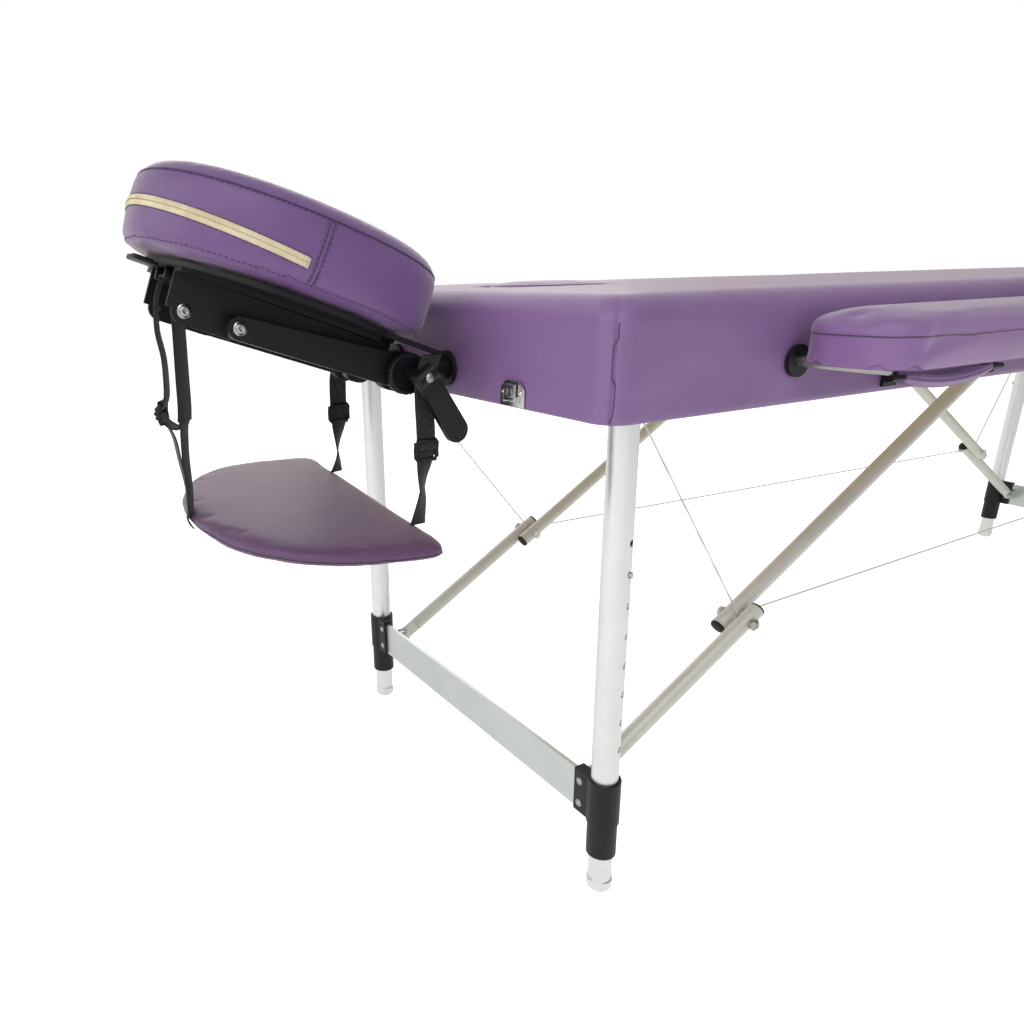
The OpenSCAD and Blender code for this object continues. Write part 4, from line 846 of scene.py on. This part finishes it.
# (how far in from the edge, height in thicknesses) from the middle of the underside to the middle of the top
for d, z in ((0.5, 0.02), (0.2, 0.0), (0.09, 0.0), (0.04, 0.04), (0.015, 0.14), (0.003, 0.3), (0.0, 0.47),
             (0.002, 0.62), (0.012, 0.78), (0.03, 0.89), (0.06, 0.97), (0.12, 1.03), (0.22, 1.08), (0.38, 1.12),
             (0.6, 1.15), (0.8, 1.16)):
    rings.append([sling_point(-core + (x + core) * (1 - d), y * (1 - d), SLING_T * z) for x, y in outline])
sling = mesh_object("sling_cushion", *loft(rings), SLING)
puff(sling, 0.0042, 1.5, 0.0016)
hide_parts("sling_pad")
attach(sling, "arm_sling")
path = [sling_point(x, y, SLING_T * 0.42) for x, y in outline]
seam("sling_edge_seam", sling, path + path[:1], "arm_sling", 0.0007)

# Sling straps, folded back through three-bar slides
STRAP_HALF, STRAP_T = 0.010, 0.0008
STRAP_SECTION = ((1, 0.3), (0.94, 1), (0.5, 1.15), (0, 1.2), (-0.5, 1.15), (-0.94, 1), (-1, 0.3), (-1, -0.3),
                 (-0.94, -1), (0, -1.2), (0.94, -1), (1, -0.3))


def webbing(points, yaw):
    """A flat strap along points; yaw turns its width from across the table, point by point."""
    P = [np.array(p, float) for p in points]
    rings = []
    for i, (p, turn) in enumerate(zip(P, yaw)):
        w = np.array([sin(turn), cos(turn), 0])
        t = P[min(i + 1, len(P) - 1)] - P[max(i - 1, 0)]
        t /= np.linalg.norm(t)
        n = np.cross(w, t)
        n /= np.linalg.norm(n)
        rings.append([p + w * STRAP_HALF * a + n * STRAP_T * b for a, b in STRAP_SECTION])
    return loft(rings)


def bend(points, n=40):
    """A smooth path of n points through a few points."""
    P = np.array(points, float)
    out = []
    for s in np.linspace(0, len(P) - 1, n):
        i = min(int(s), len(P) - 2)
        u = s - i
        a, b, c, d = P[max(i - 1, 0)], P[i], P[i + 1], P[min(i + 2, len(P) - 1)]
        square, cube = 2 * a - 5 * b + 4 * c - d, 3 * b - a - 3 * c + d
        out.append(0.5 * (2 * b + (c - a) * u + square * u * u + cube * u ** 3))
    return out


def slide_parts(x, y, z, turn):
    """A three-bar slide: a rounded frame with bars across it, its width turned like its strap's."""
    hw, hh, r = 0.0118, 0.0098, 0.0024
    w, n = np.array([sin(turn), cos(turn), 0]), np.array([cos(turn), -sin(turn), 0])
    c = np.array([x, y, z])
    loop = [c + w * hw * a + np.array([0, 0, hh * b]) + n * 0.0012 * abs(b) for a, b in
            ((1, -0.8), (1, 0), (1, 0.8), (0.9, 1), (-0.9, 1), (-1, 0.8), (-1, 0), (-1, -0.8), (-0.9, -1),
             (0.9, -1))]
    parts = [tube(loop, r, 8, closed=True)]
    for b, lift in ((0.0, -0.0026), (0.42, -0.0016), (-0.42, -0.0016)):
        up = np.array([0, 0, hh * b])
        parts.append(tube([c - w * hw + up + n * lift, c + up + n * lift * 1.2, c + w * hw + up + n * lift], r, 8))
    return parts


# The two inner straps: side, the foot's place on the pad, twists of the tail and its foot, points to the slide, points
# below it
EAR_X = (0.172 - 0.060 + 0.006 + 0.020 + 0.006) / cos(TILT) - 0.010
FLAT = pi / 2 * 1.05
MAIN_POINTS, TWIST_FROM, TWIST_TO = 72, 38, 58
INNER = ((-1, -0.112, (0.75, 1.45),
          [(-0.9740, -0.0872, 0.5584), (-0.9757, -0.0888, 0.5368), (-0.9755, -0.0916, 0.5069),
           (-0.9762, -0.0940, 0.4858)],
          [(-0.9800, -0.0975, 0.470), (-0.9840, -0.1010, 0.4572), (-0.9882, -0.1060, 0.4371)]),
         (1, 0.084, (0.435, 1.30),
          [(-0.978, 0.0855, 0.566), (-0.9872, 0.0860, 0.5480), (-0.9885, 0.0870, 0.5270), (-0.9880, 0.0875, 0.5000)],
          [(-0.9890, 0.0880, 0.482), (-0.9905, 0.0880, 0.4660), (-0.9915, 0.0885, 0.4420)]))
strap_parts, slide_meshes = [], []
for sy, foot_y, (twist, foot_turn), upper, lower in INNER:
    top = cradle_point((EAR_X, sy * 0.085, -0.0056))
    foot = sling_point(-0.005, foot_y, SLING_T * 1.06)
    out = sy * 0.0024
    main = bend([top + (0, 0, -0.0005), *upper, *lower, foot + (0, 0, 0.0012)], MAIN_POINTS)
    turns = [FLAT if k < TWIST_FROM else float(np.interp(k, (TWIST_FROM, TWIST_TO, MAIN_POINTS - 1),
                                                         (FLAT, twist, foot_turn))) for k in range(MAIN_POINTS)]
    strap_parts.append(webbing(main, turns))
    folded = bend([top + (0.0006, out * 0.8, -0.002), *[np.array(q) + (0, out, 0) for q in upper]])
    strap_parts.append(webbing(folded, [FLAT] * 40))
    x, y, z = upper[-1]
    slide_meshes += slide_parts(x, y + out * 0.4, z, FLAT)
# The outer strap: a broad and a narrow strand from the bracket, the loop through the slide where they meet, the drop
# to the pad's rim, and the loose end beside it
BROAD = [(-1.1945, 0, 0.660), (-1.1965, 0, 0.6297), (-1.1971, 0, 0.5979), (-1.1977, 0, 0.5643), (-1.1980, 0, 0.5398),
         (-1.1992, 0, 0.5240)]
NARROW = [(-1.2085, 0, 0.661), (-1.2155, 0, 0.6413), (-1.2177, 0, 0.6140), (-1.2140, 0, 0.5875), (-1.2137, 0, 0.5646),
          (-1.2150, 0, 0.5482), (-1.2195, 0, 0.5380)]
LOOP = [(-1.1992, 0, 0.5240), (-1.2016, 0, 0.5180), (-1.2060, 0, 0.5178), (-1.2120, 0, 0.5205), (-1.2178, 0, 0.5260),
        (-1.2205, 0, 0.5340)]
RIM = [sling_point(-MOON_DEEP + 0.001, 0, SLING_T * 0.9), sling_point(-MOON_DEEP - 0.0012, 0, SLING_T * 0.5),
       sling_point(-MOON_DEEP + 0.003, 0, -0.0006)]
DROP = [(-1.1996, 0, 0.5225), (-1.2008, 0, 0.5100), (-1.2015, 0, 0.4846), (-1.2006, 0, 0.4531), (-1.2016, 0, 0.4290),
        RIM[0]]
LOOSE = [(-1.2178, 0.001, 0.5240), (-1.2110, 0.001, 0.5080), (-1.2075, 0.001, 0.4846), (-1.2030, 0.001, 0.4560),
         (-1.2024, 0.0005, 0.4330)]
for path, n, first, last in ((BROAD, 60, 0.9, 1.02), (NARROW, 60, 0.40, 0.52), (LOOP, 40, 0.8, 0.55),
                             (DROP, 70, 0.66, 0.50), (LOOSE, 50, 0.05, 0.1)):
    strap_parts.append(webbing(bend(path, n), np.linspace(first, last, n)))
strap_parts.append(webbing(bend([DROP[-2], *RIM]), [0.5 - 0.012 * k for k in range(40)]))
slide_meshes += slide_parts(-1.2205, 0, 0.5350, 0.52)
straps = mesh_object("sling_webbing", *merge(strap_parts), WEB)
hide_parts("sling_straps")
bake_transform(straps)
slides = mesh_object("sling_slides", *merge(slide_meshes), BLACK)
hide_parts("sling_buckles")
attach(slides, "arm_sling")

# The bracket at the platform's tip that the outer strap hangs from


def block(c, half):
    """A plate with small bevels, given in the platform's frame."""
    bevel = 0.0008
    rings = []
    for way, inset in ((-1, bevel), (-1, 0.0), (1, 0.0), (1, bevel)):
        z = way * (half[2] if inset else half[2] - bevel)
        corner = max(0.0003, min(half[0], half[1]) * 0.3 - inset * 0.5)
        rings.append([cradle_point((c[0] + x, c[1] + y, c[2] + z))
                      for x, y, _ in rounded_rect(half[0] - inset, half[1] - inset, corner, 1.0, 4)])
    return loft(rings)


TIP = -0.130
parts = [block((TIP - 0.004, 0, -0.006), (0.012, 0.017, 0.0022))]
parts += [block((TIP + 0.024, y, -0.011), (0.010, 0.003, 0.006)) for y in (-0.017, 0.017)]
parts.append(tube([cradle_point((TIP + 0.018, y, -0.0135)) for y in (-0.017, 0.017)], 0.0022, 10))
trim("strap_bracket", merge(parts), BLACK, "cradle_platform")

# Side webs: they close the space between the platform and the arms, as thin plates
outline = [(-0.060, -0.0052), (0.118, -0.0052), (0.117, -0.014), (0.098, -0.024), (0.050, -0.034),
           (-0.030, -0.040), (-0.060, -0.040)]
parts = []
for sy in (-1, 1):
    parts.append(loft([[cradle_point((x * k + (1 - k) * 0.02, sy * y, z * k - (1 - k) * 0.02)) for x, z in outline]
                       for y, k in ((0.0418, 0.985), (0.0424, 1.0), (0.0446, 1.0), (0.0452, 0.985))]))
trim("platform_side_webs", merge(parts), BLACK, "cradle_platform", smooth=False)

# Hex socket screws, the lever's pin and the hub's grip rings


def screw(c, axis, r, h, hexed=True):
    """A domed screw head with a hex socket, seated at c and standing out along axis."""
    a = np.array(axis, float)
    a /= np.linalg.norm(a)
    s = square_to(a)
    w = np.cross(a, s)
    rings = []
    for q, up in ((1.35, 0.0), (1.38, 0.08), (1.35, 0.14), (1.0, 0.15), (1.0, 0.5), (0.93, 0.8), (0.72, 0.97),
                  (0.52, 1.0)):
        rings.append(circle(np.array(c) + a * h * up, r * q, s, w, 24))
    if hexed:
        for q, up in ((0.46, 1.0), (0.44, 0.5)):
            ring = []
            for t in np.linspace(0, 2 * pi, 24, endpoint=False):
                k = cos(pi / 6) / cos((t % (pi / 3)) - pi / 6)
                ring.append(np.array(c) + a * h * up + r * q * k * (cos(t) * s + sin(t) * w))
            rings.append(ring)
    return loft(rings)


def grip_ring(c, axis, r=0.0208, depth=0.0125, ribs=26, rib_h=0.0009):
    """A ribbed grip ring round an axis that lies level."""
    a = np.array(axis, float)
    s = square_to(a)
    w = np.cross(a, s)
    rings = []
    for q, along in ((0.80, 0.0), (0.97, 0.0), (1.0, 0.06), (1.0, 0.9), (0.96, 1.0), (0.86, 1.0), (0.82, 0.86),
                     (0.60, 0.82), (0.30, 0.88)):
        ring = []
        for k in range(ribs * 6):
            t = 2 * pi * k / (ribs * 6)
            rib = rib_h * (0.5 + 0.5 * cos(ribs * t)) if q >= 1.0 else 0.0
            ring.append(np.array(c) + a * depth * along + (r * q + rib) * (cos(t) * s + sin(t) * w))
        rings.append(ring)
    return loft(rings)


HUB_X, HUB_Z = -(HALF + 0.060), UNDER + 0.028
ARM_RISE, ARM_LENGTH, FRONT_REACH = radians(17), 0.179, 0.049
REAR_BOLT = (HUB_X - ARM_LENGTH * cos(ARM_RISE), HUB_Z + ARM_LENGTH * sin(ARM_RISE))
FRONT_BOLT = (REAR_BOLT[0] - FRONT_REACH * cos(TILT), REAR_BOLT[1] + FRONT_REACH * sin(TILT))
parts = [screw((x, sy * y, z), (0, sy, 0), 0.0050, 0.0040)
         for sy in (-1, 1) for (x, z), y in ((REAR_BOLT, 0.0626), (FRONT_BOLT, 0.0458))]
screws = mesh_object("cradle_screws", *merge(parts), ZINC)
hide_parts("cradle_bolts")
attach(screws, "cradle_platform")
parts = [grip_ring((HUB_X, sy * (0.054 + 0.008 + 0.0004 + 0.012) - sy * 0.011, HUB_Z), (0, sy, 0)) for sy in (-1, 1)]
trim("hub_grip_rings", merge(parts), BLACK, "cradle")
trim("lever_pin", screw((HUB_X, -0.1168, HUB_Z), (0, -1, 0), 0.0034, 0.0016, hexed=False), ZINC, "cam_lever")
trim("hub_far_screw", screw((HUB_X, 0.0755, HUB_Z), (0, 1, 0), 0.006, 0.004), ZINC, "cradle")

# Carry handles: a padded leathercloth tube, sewn along its lower edge
GRIP_HALF, GRIP_SAG = 0.0805, 0.0078
HANDLE_Y, HANDLE_Z = -(HY + 0.003 + 0.006 + 0.0003), UNDER + 0.014
for end, sx, body in (("head", 1, "head_handle"), ("foot", -1, "foot_handle")):
    cx = sx * (-HALF + 0.465)
    rings, keel = [], []
    for i in range(61):
        t = 0.006 + 0.988 * i / 60
        x = cx + GRIP_HALF * (2 * t - 1)
        z = HANDLE_Z - GRIP_SAG * sin(pi * t)
        girth = 0.6 + 0.4 * min(1.0, sin(pi * t) * 2.2) + 0.02 * sin(i * 1.9)
        ring = []
        for k in range(36):
            a = 2 * pi * k / 36
            q = 1.0 + 0.12 * max(0.0, -sin(a)) ** 3
            pleat = (1 - 0.2 * exp(-((a - pi * 0.92) / 0.22) ** 2)
                     - 0.16 * exp(-((a - pi * 1.28) / 0.2) ** 2))
            q *= pleat
            ring.append((x, HANDLE_Y + 0.0054 * girth * cos(a) * pleat, z + 0.0062 * girth * sin(a) * q))
        rings.append(ring)
        keel.append((x, HANDLE_Y, z - 0.0058 * girth * 1.08))
    o = mesh_object(f"{end}_carry_handle", *loft(rings), PURPLE)
    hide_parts(body)
    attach(o, body)
    seam(f"{end}_handle_seam", o, keel[3:-3], body, 0.0005, rows=(0.0022,))
    parts = [screw((cx + s * (GRIP_HALF + 0.011), -0.3032, HANDLE_Z), (0, -1, 0), 0.0035, 0.0022)
             for s in (-1, 1)]
    trim(f"{end}_handle_screws", merge(parts), ZINC, f"{end}_half")

# Brace end plugs, knee screws and crossbar rivets. The knee lies where the closed linkage of leg and braces puts it.
LEG_X, PIVOT_Z, LEAN = -0.860, UNDER + 0.020, radians(1.7)
EAR_OUT, EAR_DOWN, RAIL_REACH = 0.018, 0.438, 0.790
BRACE_R, PAST_KNEE, FOOT_R = 0.0095, 0.021, 0.006
lean_s, lean_c = sin(LEAN), cos(LEAN)
brace_low = np.array([LEG_X + EAR_OUT * lean_c + EAR_DOWN * lean_s,
                      PIVOT_Z + EAR_OUT * lean_s - EAR_DOWN * lean_c])
brace_top = np.array([LEG_X + RAIL_REACH, PIVOT_Z + EAR_OUT])
rise = atan2(brace_top[1] - brace_low[1], brace_top[0] - brace_low[0])
along = np.array([cos(rise), sin(rise)])
knee = brace_low + along * (np.linalg.norm(brace_top - brace_low) - (RAIL_REACH - EAR_DOWN)) / 2
leg_length = FOOT_R + (PIVOT_Z - FOOT_R - (0.0138 - FOOT_R) * lean_s) / lean_c


def end_plug(c, y, sx, d):
    """A domed rubber plug with a lip, in the open end of a brace tube; d points out of the tube."""
    c, d = np.array((sx * c[0], y, c[1])), np.array((sx * d[0], 0, d[1]))
    s = square_to(d, (0, 1.0, 0))
    w = np.cross(d, s)
    return loft([circle(c + d * out, BRACE_R * q, s, w, 28) for q, out in
                 ((0.84, -0.006), (0.84, 0.0), (0.985, 0.0002), (1.0, 0.0012), (0.93, 0.0026), (0.6, 0.0036),
                  (0.25, 0.0039))])


for end, sx, leg_y in (("head", 1, 0.250), ("foot", -1, 0.200)):
    low, high, screws, rivets = [], [], [], []
    for sy in (-1, 1):
        low_y, high_y = sy * (leg_y - 0.038), sy * (leg_y - 0.060)
        low.append(end_plug(knee + along * PAST_KNEE, low_y, sx, along))
        high.append(end_plug(knee - along * PAST_KNEE, high_y, sx, -along))
        high.append(end_plug(brace_top + along * BRACE_R, high_y, sx, along))
        screws.append(screw((sx * knee[0], low_y + sy * 0.0135, knee[1]), (0, sy, 0), 0.0052, 0.0032))
        for up in (0.100, 0.128):
            x, z = -0.013, up - leg_length
            c = (sx * (LEG_X + x * lean_c - z * lean_s), sy * (leg_y - 0.024), PIVOT_Z + x * lean_s + z * lean_c)
            rivets.append(screw(c, (-sx * lean_c, 0, -lean_s), 0.0032, 0.0014, hexed=False))
    trim(f"{end}_lower_brace_plugs", merge(low), RUBBER, f"{end}_lower_braces")
    trim(f"{end}_upper_brace_plugs", merge(high), RUBBER, f"{end}_upper_braces")
    trim(f"{end}_knee_screws", merge(screws), ZINC, f"{end}_lower_braces")
    trim(f"{end}_crossbar_rivets", merge(rivets), ZINC, f"{end}_leg_frame")

# Screws of the latches and their keepers, and of the fold's hinges on the underside
for end, sx, up in (("head", -1, 0.024 * 0.55), ("foot", 1, 0.024 * 0.3)):
    places = [(sx * (HALF + 0.0012), sy * 0.170 + s * 0.037 * 0.34, UNDER + 0.002 + up)
              for sy in (-1, 1) for s in (-1, 1)]
    trim(f"{end}_latch_screws", merge([screw(c, (sx, 0, 0), 0.0023, 0.0016) for c in places]), CHROME, f"{end}_half")
for end, sx in (("head", -1), ("foot", 1)):
    places = [(sx * 0.020, sy * 0.205 + s, UNDER - 0.0016) for sy in (-1, 1) for s in (-0.026, 0, 0.026)]
    trim(f"{end}_hinge_screws", merge([screw(c, (0, 0, -1), 0.0028, 0.0012) for c in places]), ZINC, f"{end}_half")

# Floor, backdrop and light
WHITE = (1.0, 1.0, 1.0)


def stage_material():
    """A pale floor, and brighter for camera rays so that it reads as a white background."""
    m = Mat("studio_floor")
    rough = m.node("ShaderNodeTexNoise", Scale=3).outputs["Fac"]
    m.set(Base_Color=(0.93, 0.93, 0.93), Roughness=m.span(rough, 0.86, 0.94), Emission_Color=WHITE,
          Emission_Strength=0.36)
    seen, path = m.node("ShaderNodeEmission", Strength=0.30), m.node("ShaderNodeLightPath")
    total, pick = m.node("ShaderNodeAddShader"), m.node("ShaderNodeMixShader")
    m.link(path.outputs["Is Camera Ray"], pick.inputs[0])
    m.link(m.b.outputs[0], total.inputs[0])
    m.link(seen.outputs[0], total.inputs[1])
    m.link(m.b.outputs[0], pick.inputs[1])
    m.link(total.outputs[0], pick.inputs[2])
    m.link(pick.outputs[0], m.out.inputs[0])
    return m.m


bpy.ops.mesh.primitive_plane_add(size=24, location=(S, 0, 0))
floor = bpy.context.object
floor.name = "floor"
floor.data.materials.append(stage_material())

# The world: one strength lights the object, camera rays see plain white, and glossy surfaces see a white studio that
# is dimmer on its right, so that round tubes get a shaded edge
LIT, DIM_SIDE = 0.47, (0.72, -0.66, -0.10)
world = bpy.data.worlds.new("studio")
bpy.context.scene.world = world
world.use_nodes = True
tree = world.node_tree
tree.nodes.clear()
out, path, where, side, dim = (tree.nodes.new("ShaderNode" + kind) for kind in
                               ("OutputWorld", "LightPath", "TexCoord", "VectorMath", "MapRange"))
bg_light, bg_gloss, bg_seen = (tree.nodes.new("ShaderNodeBackground") for _ in range(3))
to_gloss, to_seen = tree.nodes.new("ShaderNodeMixShader"), tree.nodes.new("ShaderNodeMixShader")
bg_light.inputs[0].default_value = (1.0, 0.99, 0.97, 1)
bg_light.inputs[1].default_value = LIT
bg_seen.inputs[0].default_value = (*WHITE, 1)
bg_seen.inputs[1].default_value = 1.0
side.operation = "DOT_PRODUCT"
side.inputs[1].default_value = DIM_SIDE
dim.interpolation_type = "SMOOTHSTEP"
for i, value in ((1, 0.1), (2, 0.95), (3, 0.95), (4, 0.28)):
    dim.inputs[i].default_value = value
for a, b in ((where.outputs["Generated"], side.inputs[0]), (side.outputs["Value"], dim.inputs[0]),
             (dim.outputs[0], bg_gloss.inputs[1]), (path.outputs["Is Glossy Ray"], to_gloss.inputs[0]),
             (bg_light.outputs[0], to_gloss.inputs[1]), (bg_gloss.outputs[0], to_gloss.inputs[2]),
             (path.outputs["Is Camera Ray"], to_seen.inputs[0]), (to_gloss.outputs[0], to_seen.inputs[1]),
             (bg_seen.outputs[0], to_seen.inputs[2]), (to_seen.outputs[0], out.inputs[0])):
    tree.links.new(a, b)


def area(name, place, look, size, power, color):
    d = bpy.data.lights.new(name, "AREA")
    d.shape = "RECTANGLE"
    d.size, d.size_y = size
    d.energy = power
    d.color = color
    o = bpy.data.objects.new(name, d)
    bpy.context.collection.objects.link(o)
    o.location = place
    o.rotation_mode = "QUATERNION"
    o.rotation_quaternion = (Vector(look) - Vector(place)).to_track_quat("-Z", "Y")
    return o


area("key_soft", (-2.2, -2.2, 3.0), (-0.4, 0, 0.5), (2.6, 2.0), 42, (1.0, 0.985, 0.96))
area("head_soft", (-3.2, 0.3, 1.5), (-0.9, 0, 0.5), (2.0, 1.6), 18, (1.0, 0.985, 0.97))
area("fill_soft", (2.6, -2.4, 2.2), (0, 0, 0.5), (2.4, 2.0), 19, WHITE).visible_glossy = False
area("back_soft", (0.8, 3.2, 2.0), (0, 0, 0.6), (3.4, 1.6), 31, (1.0, 0.955, 0.90))

bpy.context.scene.view_settings.view_transform = "Standard"
